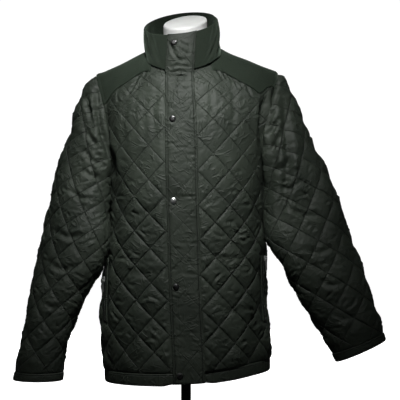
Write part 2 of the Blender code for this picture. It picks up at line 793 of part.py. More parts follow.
def build_collar(fronts, back):
    """The stand-up collar, open in front, and its grid of points from the left round to the right."""
    loop = neckline(fronts, back)
    run = lengths(loop)
    columns = []
    for i in range(COLLAR_SIDES + 1):
        share = i / COLLAR_SIDES
        foot = along(loop, share * run[-1])
        rim = rim_point(lerp(0.0, 2 * math.pi, share))
        if i in (0, COLLAR_SIDES):
            rim[0] += SEAM_GAP / 2 if i == 0 else -SEAM_GAP / 2
        out = unit([rim[0] - RIM_MIDDLE[0], rim[1] - RIM_MIDDLE[1], 0.0])
        shares = np.linspace(0, 1, COLLAR_ROWS + 1)
        columns.append(
            [lerp(foot, rim, s) + out * COLLAR_BULGE * math.sin(math.pi * s) for s in shares]
        )
    grid = np.array(columns)
    points, faces, places = weave(grid, fine=lambda i, j: True)
    probe = places.index((COLLAR_SIDES // 2, 2))
    wall("collar", points, faces, COLLAR_WALL, "brushed cloth", (probe, (0, 1, 0)))
    return grid


def build_hem_band():
    """Plain band round the hem, open at the front."""
    columns = []
    runs = (
        (1, False, range(COLUMNS + 1)),
        (1, True, range(COLUMNS - 1, 0, -1)),
        (-1, True, range(COLUMNS)),
        (-1, False, range(COLUMNS, -1, -1)),
    )
    for side, back, order in runs:
        for i in order:
            low = hem_height(side, back, i)
            high = low + HEM_BAND - SEAM_GAP
            columns.append(
                [panel_point(low, side, back, i), panel_point(high, side, back, i)]
            )
    points, faces, places = weave(columns, fine=lambda i, j: True)
    probe = places.index((2 * COLUMNS, 0))
    wall("hem_band", points, faces, BAND_WALL, "nylon", (probe, (0, 1, 0)))


def cross_row(right, left, where):
    """Points across the front opening, at distances from it towards the wearer's left."""
    row = np.concatenate([right[::-1], left])
    run = lengths(row)
    middle = (run[len(right) - 1] + run[len(right)]) / 2
    return along(row, middle + np.asarray(where))


def flap_rows(fronts, collar):
    """Rows of the storm flap's sheet from the hem to the collar's rim, lifted off what it covers."""
    where = np.linspace(-FLAP_HALF_WIDTH, FLAP_HALF_WIDTH, FLAP_COLUMNS + 1)
    hem = {
        side: [panel_point(hem_height(side, False, i), side, False, i) for i in range(FLAP_REACH)]
        for side in (-1, 1)
    }
    rows = [cross_row(np.array(hem[-1]), np.array(hem[1]), where)]
    panel_rows = [*range(PATCH_ROW + 1), LAST_ROW]
    for row in panel_rows:
        rows.append(cross_row(fronts[-1][:FLAP_REACH, row], fronts[1][:FLAP_REACH, row], where))
    lifts = [BAND_WALL + LAY_GAP] * FLAP_FOOT_ROWS
    lifts += [WALL + LAY_GAP] * (LEVEL_ROWS - FLAP_FOOT_ROWS)
    lifts += [WALL + FLAP_CHEST_GAP] * (len(rows) - len(lifts) - 1)
    lifts += [WALL + COLLAR_GAP + COLLAR_WALL]
    for row in range(1, COLLAR_ROWS + 1):
        rows.append(cross_row(collar[::-1][:FLAP_REACH, row], collar[:FLAP_REACH, row], where))
        lifts.append(COLLAR_WALL + LAY_GAP)
    grid = np.array(rows).transpose(1, 0, 2)
    outer = normals(grid, (0, -1, 0))
    return grid + outer * np.array(lifts)[None, :, None]


def build_flap(fronts, collar):
    """The storm flap over the front opening, and its grid of points."""
    grid = flap_rows(fronts, collar)
    first = -FLAP_COLUMNS // 2
    points, faces, places = weave(grid, first, FLAP_PHASE, fine=lambda i, j: j > PATCH_ROW)
    relief = []
    for i, row in places:
        middle = lattice_kind(first + i, row - FLAP_PHASE) == (2, 2)
        height = points[places.index((i, row))][2]
        by_snap = any(abs(height - snap) < SNAP_CLEAR for snap in SNAP_HEIGHTS)
        inside = 0 < i < FLAP_COLUMNS and 1 < row < PATCH_ROW
        relief.append(FLAP_PUFF if middle and inside and not by_snap else 0.0)
    probe = places.index((FLAP_COLUMNS // 2, 8))
    wall("storm_flap", points, faces, FLAP_WALL, "nylon", (probe, (0, -1, 0)), relief)
    return grid


# ---------------------------------------------------------------- small hard pieces


def frame_at(position, outward):
    """Matrix whose Z points outward, Y up and X across, at a position in millimetres."""
    z_axis = Vector(outward).normalized()
    x_axis = Vector((0, 0, 1)).cross(z_axis).normalized()
    y_axis = z_axis.cross(x_axis)
    turn = Matrix((x_axis, y_axis, z_axis)).transposed().to_4x4()
    return Matrix.Translation(Vector(position) * MM) @ turn


def turned(name, profile, sides, finish, matrix):
    """A turned solid from a closed-off profile of radius and height, top to bottom."""
    mesh = bpy.data.meshes.new(name)
    points = [(radius * MM, 0, height * MM) for radius, height in profile]
    edges = [(k, k + 1) for k in range(len(points) - 1)]
    mesh.from_pydata(points, edges, [])
    made = add_object(name, mesh, finish)
    screw = made.modifiers.new("Turn", "SCREW")
    screw.steps = sides
    screw.render_steps = sides
    screw.use_merge_vertices = True
    screw.merge_threshold = 0.00001
    screw.use_smooth_shade = True
    made.matrix_world = matrix
    return made


def build_snaps(flap):
    """Snap caps down the flap, near its free edge."""
    collar_row = -1 - round((1 - COLLAR_SNAP_SHARE) * COLLAR_ROWS)
    across = FLAP_COLUMNS / 2 + SNAP_OFFSET / (2 * FLAP_HALF_WIDTH) * FLAP_COLUMNS
    column = int(across)
    share = across - column
    outer = normals(flap, (0, -1, 0))
    line = lerp(flap[column], flap[column + 1], share)
    ways = lerp(outer[column], outer[column + 1], share)
    spots = []
    body = slice(0, len(line) - COLLAR_ROWS)
    for height in SNAP_HEIGHTS:
        spot = [np.interp(height, line[body, 2], line[body, k]) for k in range(3)]
        way = [np.interp(height, line[body, 2], ways[body, k]) for k in range(3)]
        spots.append((np.array(spot), unit(way)))
    spots.append((line[collar_row], unit(ways[collar_row])))
    profile = [(SNAP_RADIUS * out, SNAP_THICKNESS * up) for out, up in SNAP_PROFILE]
    for number, (spot, way) in enumerate(spots, start=1):
        seat = spot + way * (FLAP_WALL + LAY_GAP)
        turned(f"snap_{number}", profile, SNAP_SIDES, "dark metal", frame_at(seat, way))


def strip(name, grid, low_arc, high_arc, thickness, finish, side):
    """A straight strip on a front panel between two distances from its opening."""
    outer = normals(grid, (0, -1, 0))
    lifted = grid + outer * (WALL + LAY_GAP)
    rows = [row for row in range(1, LEVEL_ROWS) if pocket_row(row)]
    columns = []
    for arc in (low_arc, (low_arc + high_arc) / 2, high_arc):
        run = []
        for row in rows:
            z = min(max(lifted[0, row, 2], POCKET_LOW), POCKET_HIGH)
            arcs = lengths(grid[:, row])
            run.append([*(np.interp(arc, arcs, lifted[:, row, k]) for k in range(2)), z])
        columns.append(run)
    points, faces, places = weave(columns, fine=lambda i, j: True)
    wall(name, points, faces, thickness, finish, (places.index((1, 3)), (side, -1, 0)))


def build_pocket(label, side, grid):
    """One side pocket: the welt, the zip beside it, the slider and the pull that hangs from it."""
    low = POCKET_ARC - ZIP_WIDTH / 2
    high = POCKET_ARC + ZIP_WIDTH / 2
    strip(f"pocket_zip_{label}", grid, low, high, ZIP_WALL, "dark metal", side)
    welt_low = low - SEAM_GAP - WELT_WIDTH
    strip(f"pocket_welt_{label}", grid, welt_low, low - SEAM_GAP, WALL, "nylon", side)
    height = SLIDER_HEIGHT[side]
    row = 1 + (height - FIRST_LEVEL) / CELL_ALONG
    base = int(row)
    share = row - base
    outer = normals(grid, (0, -1, 0))
    arcs = lengths(grid[:, base])
    line = lerp(grid[:, base], grid[:, base + 1], share)
    ways = lerp(outer[:, base], outer[:, base + 1], share)
    spot = np.array([np.interp(POCKET_ARC, arcs, line[:, k]) for k in range(3)])
    way = unit([np.interp(POCKET_ARC, arcs, ways[:, k]) for k in range(3)])
    way[2] = 0.0
    seat = spot + unit(way) * (WALL + 2 * LAY_GAP + ZIP_WALL)
    place = frame_at(seat, way)
    build_slider(f"zip_slider_{label}", place)
    build_pull(f"zip_pull_{label}", place)


def box_mesh(bm, size, middle):
    """Adds a box to a bmesh, by its size and middle in millimetres."""
    made = bmesh.ops.create_cube(bm, size=1.0)
    bmesh.ops.scale(bm, vec=Vector(size) * MM, verts=made["verts"])
    bmesh.ops.translate(bm, vec=Vector(middle) * MM, verts=made["verts"])


def cutter(name, size, middle, place):
    """A box that cuts and isn't part of the model."""
    bm = bmesh.new()
    box_mesh(bm, size, middle)
    mesh = bpy.data.meshes.new(name)
    bm.to_mesh(mesh)
    bm.free()
    made = bpy.data.objects.new(name, mesh)
    CUTTERS.objects.link(made)
    made.matrix_world = place
    made.hide_render = True
    made.display_type = "WIRE"
    return made


def build_slider(name, place):
    """Zip slider: a plate with a bridge, and the window in the bridge that the pull hangs in."""
    across, long, thick = SLIDER_SIZE
    bm = bmesh.new()
    box_mesh(bm, SLIDER_SIZE, (0, 0, thick / 2))
    mesh = bpy.data.meshes.new(name)
    bm.to_mesh(mesh)
    bm.free()
    made = add_object(name, mesh, "dark metal")
    made.matrix_world = place
    edge = made.modifiers.new("Edge", "BEVEL")
    edge.width = SLIDER_EDGE * MM
    edge.segments = 2
    top = thick + BRIDGE_HEIGHT
    bridge = cutter(
        name + "_bridge",
        (BRIDGE_WIDTH, BRIDGE_LENGTH, top - BRIDGE_SINK),
        (0, 0, (top + BRIDGE_SINK) / 2),
        place,
    )
    window = cutter(
        name + "_window",
        (BRIDGE_WIDTH * 2, BRIDGE_LENGTH - 2 * BRIDGE_BAR, BRIDGE_HEIGHT - BRIDGE_BAR),
        (0, 0, thick + (BRIDGE_HEIGHT - BRIDGE_BAR) / 2 + WINDOW_CLEAR),
        place,
    )
    for tool, operation in ((bridge, "UNION"), (window, "DIFFERENCE")):
        step = made.modifiers.new(operation.title(), "BOOLEAN")
        step.operation = operation
        step.solver = "EXACT"
        step.object = tool


def build_pull(name, place):
    """Wire loop that hangs in the slider's window. Its origin is on its hinge axis."""
    thick = SLIDER_SIZE[2]
    axis_height = thick + BRIDGE_HEIGHT - BRIDGE_BAR - PULL_WIRE / 2 - SEAM_GAP
    axis = place @ Vector((0, 0, axis_height * MM))
    half = PULL_WIDTH / 2
    lower = PULL_LENGTH - half
    outline_points = [(-half + PULL_CORNER, 0), (half - PULL_CORNER, 0), (half, -PULL_CORNER)]
    outline_points += [(half, -lower * share) for share in PULL_SIDE_POINTS]
    for k in range(PULL_ROUND + 1):
        turn = math.pi * k / PULL_ROUND
        outline_points.append((half * math.cos(turn), -lower - half * math.sin(turn)))
    outline_points += [(-half, -lower * share) for share in PULL_SIDE_POINTS[::-1]]
    outline_points.append((-half, -PULL_CORNER))
    curve = bpy.data.curves.new(name, "CURVE")
    curve.dimensions = "3D"
    curve.bevel_depth = PULL_WIRE / 2 * MM
    curve.bevel_resolution = 2
    line = curve.splines.new("POLY")
    line.points.add(len(outline_points) - 1)
    for point, (x, y) in zip(line.points, outline_points):
        point.co = (x * MM, y * MM, 0, 1)
    line.use_cyclic_u = True
    made = add_object(name, curve, "dark metal")
    made.matrix_world = Matrix.Translation(axis) @ place.to_3x3().to_4x4()


# ---------------------------------------------------------------- dress form and stand


def form_ring(z, half_width, front, back, middle_y, middle_x=0.0):
    """Ring of the dress form in millimetres."""
    points = []
    for k in range(FORM_SIDES):
        turn = 2 * math.pi * k / FORM_SIDES
        depth = front if math.cos(turn) > 0 else back
        points.append(
            (middle_x + half_width * math.sin(turn), middle_y - depth * math.cos(turn), z)
        )
    return points


def build_form():
    """Limbless torso whose shoulders carry the jacket's shoulder seams, with a flat-topped neck."""
    rings = [form_ring(*row) for row in FORM]
    for k in range(FORM_SHOULDER_RINGS):
        share = k / (FORM_SHOULDER_RINGS - 1)
        half_width = lerp(FORM_TOP_SHOULDER, FORM_LAST_SHOULDER, share)
        depth = lerp(FORM_SHOULDER_DEPTH, FORM_NECK_DEPTH, share)
        crests = {}
        for side in (-1, 1):
            neck = np.array(SHOULDER_NECK[side])
            tip = np.array(SHOULDER_TIP[side])
            reach = (side * half_width - neck[0]) / (tip[0] - neck[0])
            crests[side] = lerp(neck, tip, reach) - np.array([0.0, 0.0, SEAT_GAP])
        ring = []
        for x, y, _ in form_ring(0.0, half_width, 1.0, 1.0, 0.0):
            crest = lerp(crests[-1], crests[1], (x / half_width + 1) / 2)
            y = math.copysign(abs(y) ** FORM_RIDGE, y)
            ring.append((x, crest[1] + y * depth, crest[2]))
        rings.append(ring)
    rings += [form_ring(*row, FORM_NECK_X) for row in FORM_NECK_FOOT]
    radius = FORM_NECK_RADIUS
    rings.append(form_ring(FORM_NECK_BASE, radius, radius, radius, FORM_NECK_Y, FORM_NECK_X))
    tilt = Matrix.Rotation(math.radians(FORM_NECK_PITCH), 3, "X")
    tilt = Matrix.Rotation(-math.radians(FORM_NECK_ROLL), 3, "Y") @ tilt
    bend = FORM_EDGE * FORM_EDGE_BEND
    for drop, shrink in ((FORM_EDGE, 0.0), (bend, bend), (0.0, FORM_EDGE)):
        flat = form_ring(-drop, radius - shrink, radius - shrink, radius - shrink, 0.0)
        rise = Vector((FORM_NECK_X, FORM_NECK_Y, FORM_NECK_TOP))
        rings.append([tuple(rise + shear(Vector(point), tilt)) for point in flat])
    bm = bmesh.new()
    loops = [[bm.verts.new(Vector(point) * MM) for point in ring] for ring in rings]
    for low, high in zip(loops, loops[1:]):
        for k in range(FORM_SIDES):
            n = (k + 1) % FORM_SIDES
            bm.faces.new((low[k], low[n], high[n], high[k]))
    bm.faces.new(loops[0][::-1])
    bm.faces.new(loops[-1])
    bmesh.ops.recalc_face_normals(bm, faces=bm.faces)
    mesh = bpy.data.meshes.new("dress_form")
    bm.to_mesh(mesh)
    bm.free()
    mesh.shade_smooth()
    add_object("dress_form", mesh, "form plastic")


def shear(point, tilt):
    """Raises a level point to the tilted plane above it."""
    normal = tilt @ Vector((0, 0, 1))
    rise = -(normal.x * point.x + normal.y * point.y) / normal.z
    return Vector((point.x, point.y, point.z + rise))


def build_stand():
    """Pole and round base."""
    top = BASE_THICKNESS
    profile = [
        (0, top),
        (BASE_RADIUS - BASE_EDGE, top),
        (BASE_RADIUS, top - BASE_EDGE),
        (BASE_RADIUS, 0),
        (0, 0),
    ]
    turned("stand_base", profile, BASE_SIDES, "stand metal", Matrix.Identity(4))
    low = BASE_THICKNESS + SEAM_GAP
    high = FORM[0][0] - SEAM_GAP
    pole = [(0, high), (POLE_RADIUS, high), (POLE_RADIUS, low), (0, low)]
    turned("stand_pole", pole, POLE_SIDES, "stand metal", Matrix.Identity(4))


# ---------------------------------------------------------------- the whole part


def build_all():
    """Builds every piece."""
    fronts = {
        1: build_front("front_left", 1, FRONT_PHASE[1]),
        -1: build_front("front_right", -1, FRONT_PHASE[-1]),
    }
    back = build_back(BACK_PHASE)
    halves = {1: back[COLUMNS:], -1: back[COLUMNS::-1]}
    labels = {1: "left", -1: "right"}
    for side, label in labels.items():
        phases = (FRONT_PHASE[side], BACK_PHASE)
        build_patch(f"shoulder_patch_{label}", side, fronts[side], halves[side], phases)
        rings = build_sleeve(f"sleeve_{label}", side, fronts[side], halves[side])
        build_cuff(f"cuff_band_{label}", side, rings)
        build_pocket(label, side, fronts[side])
    collar = build_collar(fronts, back)
    build_hem_band()
    flap = build_flap(fronts, collar)
    build_snaps(flap)
    build_form()
    build_stand()


for old in list(bpy.data.objects):
    bpy.data.objects.remove(old, do_unlink=True)
PART = collection("quilted_jacket")
CUTTERS = collection("cutters")
build_all()
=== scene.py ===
"""Quilted jacket on a dress form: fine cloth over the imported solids, its materials and its studio.

The surfaces repeat the part's own sizes, in millimetres, and MM turns them into metres.
"""

import functools
import math

import bpy
import numpy as np
from mathutils import Matrix, Vector


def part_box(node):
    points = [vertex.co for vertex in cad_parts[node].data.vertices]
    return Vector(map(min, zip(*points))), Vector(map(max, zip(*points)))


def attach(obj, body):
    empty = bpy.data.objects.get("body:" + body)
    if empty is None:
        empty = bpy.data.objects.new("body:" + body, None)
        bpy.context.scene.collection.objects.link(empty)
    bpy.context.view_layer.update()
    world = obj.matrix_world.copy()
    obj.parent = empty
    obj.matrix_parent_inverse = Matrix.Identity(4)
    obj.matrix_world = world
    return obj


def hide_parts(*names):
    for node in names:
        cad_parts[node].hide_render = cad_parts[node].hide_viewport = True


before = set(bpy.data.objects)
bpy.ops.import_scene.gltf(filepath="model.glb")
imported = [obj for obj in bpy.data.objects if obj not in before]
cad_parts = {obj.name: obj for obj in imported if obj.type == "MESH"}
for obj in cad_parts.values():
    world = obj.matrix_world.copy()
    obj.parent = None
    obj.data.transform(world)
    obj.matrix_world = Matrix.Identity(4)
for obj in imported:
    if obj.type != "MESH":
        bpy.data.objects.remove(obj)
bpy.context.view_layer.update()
MM = 0.001
LABELS = {1: "left", -1: "right"}
# Hard fittings, and the reach within which they keep the cloth still
FITTINGS = {f"snap_{number}": 24.0 for number in range(1, 6)}
FITTINGS.update({f"zip_slider_{label}": 60.0 for label in LABELS.values()})
TURN = 2 * math.pi

# Cloth
WALL = 2.0  # quilted cloth at its stitch lines
SEAM_GAP = 0.3
LAY_GAP = 0.6  # under a piece that lies on another
BAND_WALL = 3.0
COLLAR_WALL = 3.0
PATCH_WALL = 2.0
QUILTED_RIM = 0.55  # share of a quilted wall's thickness that is left at its edges
FLAP_WALL = 2.4

# Quilting: a diamond is four cells wide and four cells tall
CELL_ACROSS = 18.0
CELL_ALONG = 19.0
FRONT_PHASE = {-1: 10, 1: 9}  # row of a crossing on every fourth column
BACK_PHASE = 9

# Body rows and columns
FIRST_LEVEL = 182.0
LEVEL_ROWS = 29
ARMPIT_ROW = 21  # row of the panels' grids, counted from the hem seam
CHEST_ROWS = 5
YOKE_ROWS = 4
COLUMNS = 15
COVERED_COLUMNS = 2  # columns next to the opening that the flap covers
FITTED_COLUMNS = 5  # columns next to the side seam and armhole that take up the width
SQUEEZED_ROWS = 12  # rows below the armpit where body and sleeve press each other flat
SQUARENESS = 2.3
LINE_STEPS = 140
OVERRUN = 25.0  # degrees that an outline runs past the middle of the front

# Body outline by height: half widths at the wearer's right and left, depths in front and behind,
# and how far the front opening lies from the middle
RIGHT, LEFT, FRONT, BACK, OPENING = 1, 2, 3, 4, 5
BODY = [
    (120, 183, 190, 146, 138, 6),
    (180, 185, 190, 147, 138, 5),
    (240, 189, 187, 147, 137, 2),
    (300, 189, 182, 147, 135, -1),
    (350, 187, 181, 146, 134, -3),
    (410, 180, 181, 145, 133, -5),
    (470, 174, 179, 144, 133, -6),
    (520, 171, 177, 143, 134, -8),
    (562, 170, 176, 142, 136, -9),
    (620, 173, 178, 139, 138, -10),
    (680, 179, 183, 133, 137, -11),
    (720, 185, 189, 126, 133, -11),
]
# Lower edge of the hem by the turn from the middle of the front, in degrees towards the left
HEM = [(-180, 138), (-90, 127), (-55, 129), (0, 133), (30, 141), (55, 150), (90, 152), (180, 138)]
HEM_BAND = 24.0

# Half width of the armhole in front of and behind the side seam, by height
ARMHOLE_FRONT, ARMHOLE_BACK = 1, 2
ARMHOLE = [(562, 0, 0), (580, 22, 24), (600, 36, 40), (625, 44, 50), (660, 47, 54), (720, 43, 50)]

# Shoulder seams and neckline
SHOULDER_NECK = {-1: (-83.0, -2.0, 872.0), 1: (78.0, -2.0, 879.0)}
SHOULDER_TIP = {-1: (-206.0, 5.0, 819.5), 1: (211.0, 5.0, 823.0)}
NECK_COLUMNS = 5
NECK_OPENING = -13.0
CORNER_FAN = math.radians(24)  # turn of the column that runs into the corner at the neck
FAN_SHARE = 0.35  # of the shoulder seam, over which the columns straighten
# Ways in which the columns leave the top edge: shares sideways, away from the depth's middle, and up
NECK_WAY_CORNER = (0.38, 0.85, -0.24)
SHOULDER_WAY_DROP = 0.05
# Middle of the neckline, in front and behind: y, z and way
NECK_MIDDLE = {False: (-96.0, 818.0, (0.0, 0.38, -0.85)), True: (74.0, 892.0, (0.0, 0.6, -0.85))}
# Run of a panel's columns over the chest and shoulder: rise off the chest, reach off the seam, and
# the share of the run where the shoulder patch begins, in front and behind
RISE, REACH, PATCH_FRONT, PATCH_BACK = 1, 2, 3, 4
YOKE = [
    (0, 45, 35, 0.90, 0.90),
    (2, 45, 38, 0.86, 0.87),
    (3, 46, 42, 0.80, 0.83),
    (4, 48, 47, 0.70, 0.76),
    (5, 51, 51, 0.61, 0.69),
    (6, 54, 55, 0.54, 0.62),
    (8, 56, 58, 0.45, 0.53),
    (11, 50, 52, 0.36, 0.42),
    (15, 40, 28, 0.31, 0.36),
]
PATCH_FIRST_COLUMN = 3

# Sleeve rings from the cuff up: middle x, y, z, half width, half depth, tilt in degrees, and how
# far the inner side lies forward of the middle
SLEEVE_SIDES = 24
SLEEVE_HALF = SLEEVE_SIDES // 2
SLEEVE_REGULAR = 6  # columns on each side of the outer line that are a cell wide
SLEEVES = {
    -1: [
        (331.5, -72, 132.0, 52.0, 42, 0.0, 0),
        (320.5, -66, 198, 48.5, 45, 0.0, 0),
        (306.0, -60, 259, 52.5, 48, 2.0, 3),
        (289.5, -53, 317, 59.0, 52, 5.0, 9),
        (274.5, -46, 361, 66.5, 56, 9.0, 17),
        (261.0, -41, 399, 72.5, 60, 12.0, 24),
        (251.0, -36, 442, 74.0, 62, 13.5, 28),
        (243.0, -29, 483, 73.4, 63, 14.5, 28),
        (241.0, -20, 524, 67.5, 63, 15.0, 22),
        (235.6, -13, 556, 65.6, 62, 15.5, 20),
    ],
    1: [
        (393.0, -75, 198, 57.2, 40, 24.0, 0),
        (372.5, -68, 249, 61.4, 42, 19.5, 0),
        (354.0, -62, 290, 68.0, 44, 18.0, 3),
        (336.0, -55, 332, 74.0, 47, 18.0, 8),
        (318.0, -50, 370, 78.4, 50, 18.0, 14),
        (299.0, -44, 411, 82.0, 53, 18.5, 20),
        (284.0, -39, 442, 85.0, 55, 18.5, 24),
        (266.5, -31, 480, 89.5, 58, 19.0, 25),
        (257.0, -20, 524, 83.5, 60, 19.5, 22),
        (250.0, -13, 560, 77.2, 61, 20.0, 20),
    ],
}
# Directions in which a sleeve's columns leave the armhole, as shares sideways, forward and up: at its
# front, and what its top and the armpit add
CAP_WAY = (0.62, 0.6, -0.3)
CAP_WAY_TOP = (-0.06, 0.0, -0.5)
CAP_WAY_UNDER = (-0.3, 0.0, -0.65)
CAP_RISE = 0.38  # reach of the curve's ends, as shares of the cap's length
CAP_REACH = 0.3
CAP_REACH_MOST = 34.0

# Collar rim, an ellipse tilted forward and rolled towards the wearer's right
RIM_MIDDLE = (-12.0, -6.0, 941.0)
RIM_HALF_WIDTH = 83.0
RIM_HALF_DEPTH = 84.0
RIM_PITCH = 24.0
RIM_ROLL = 8.0
COLLAR_SIDES = 30
COLLAR_ROWS = 4
COLLAR_BULGE = 3.0
COLLAR_GAP = 1.8  # under the collar's foot

# Storm flap
FLAP_HALF_WIDTH = 33.0
FLAP_COLUMNS = 4
FLAP_PHASE = 2
FLAP_REACH = 5  # columns of each front, and of the collar, that the flap's rows are laid over
FLAP_FOOT_ROWS = 3  # rows that clear the hem band
FLAP_CHEST_GAP = 1.2

# Side pockets: middle of the zip along the front's arc, and its run in height
POCKET_ARC = 214.0
POCKET_LOW = 262.0
POCKET_HIGH = 410.0
ZIP_WIDTH = 7.0
WELT_WIDTH = 12.0

PATCH_ROW = LEVEL_ROWS + CHEST_ROWS

# ---------------------------------------------------------------- the scene's own sizes

FINE = 6  # steps of the dense sheets to a quilting cell
CAP_ROWS = 9  # rows of a sleeve's cap, from the armpit's level to the armhole
HEM_TUCK = 2.5  # that the panels reach in behind the hem band
TOOTH_PITCH = 1.25  # of the pocket zips, both rows together
TOOTH_HALF = 1.3  # half a tooth's width
TOOTH_SHIFT = 0.5  # of either row from the zip's middle
TAPE_WALL = 0.8
TOOTH_RINGS = ((0.4, 1.0), (1.36, 0.92), (1.6, 0.6))  # height on the tape, and share of the size
STRIP_COLUMNS = 7  # of the pocket's tape and welt
# Rows of the yoke that a patch's lower edge climbs in front, up to the armhole
PATCH_CLIMB = {1: 1.7, -1: 0.0}  # by side: the wearer's left is 1, and the right -1
# Where a sleeve gives way to its pocket's pull, swung right out, and by how much
PULL_ROOM = {1: ((209.0, -63.0, 396.0), 4.8), -1: ((-209.5, -57.0, 339.0), 3.2)}
PULL_ROOM_REACH = 17.0
FLAP_WRINKLES = 80
# Ranges of its wrinkles: middle, slope, half width, depth and reach
WRINKLE_RANGES = ((-1.6, 1.9), (-4.0, 4.0), (1.8, 3.4), (-0.4, -1.3), (0.35, 1.0))
FLAP_SHOWN = 1.1  # height of its faint quilting
FLAP_LINE = 5.5  # of its topstitching from its edges
FLAP_WIDER = 4.5  # at the wearer's left, below the chest
SHOWN_INSET = 0.3  # of a patch from the collar's seam, where the collar covers it
SHOWN_SLEEVE_INSET = 0.6
PATCH_SHOWN_LIFT = 0.2  # of a patch over the panels, where its edges are sewn down
CUFF_FLARE = 2.0  # of a cuff, outward
HEM_DROP = 3.5  # of the hem band beside the flap
PILLOW_POWER = 0.5  # below 1, for full diamonds with steep edges
PUCKER = 0.15  # share of a diamond's height, of the ripples by its stitch lines
DENTS = 4  # short folds in each diamond
STITCH_PITCH = 52.0  # millimetres between two parallel rows of quilting
STITCH_HALF = 0.85  # half width of a sewn groove
STITCH_LENGTH = 3.2
PUCKER_REACH = 13.0  # millimetres that a short wrinkle runs on each side of a sewn line
PUCKER_PITCH = 5.5
PUCKER_HEIGHT = 0.0010  # metres, as DRAG_HEIGHT is
DRAG_WAYS = ((82.0, 3.0), (20.0, 14.0), (-38.0, 27.0))  # degrees, and a seed
DRAG_HEIGHT = 0.0007
SHOWN_PUFF = 6.2  # height of the fine quilting, a little under the solids' own
# The sleeves' quilting against the solids': shift of s, its change with t, and the scale of t
SLEEVE_QUILT = {-1: (0.25, 0.10, 1.2), 1: (-0.07, 0.0, 1.0)}
SEAM_CALM = 8.0  # millimetres from a shared seam, over which the broad folds set in
CHEST_PUFF = 0.42  # share of it on the chest, where the cloth is drawn flat

# Broad unevenness of the cloth: wave length and height in millimetres, and a seed
WAVES = [(210.0, 0.8, 3.0), (120.0, 0.7, 7.0), (70.0, 0.4, 11.0)]

# Troughs and ridges: depth in millimetres, half width, and x and z of each point of a line

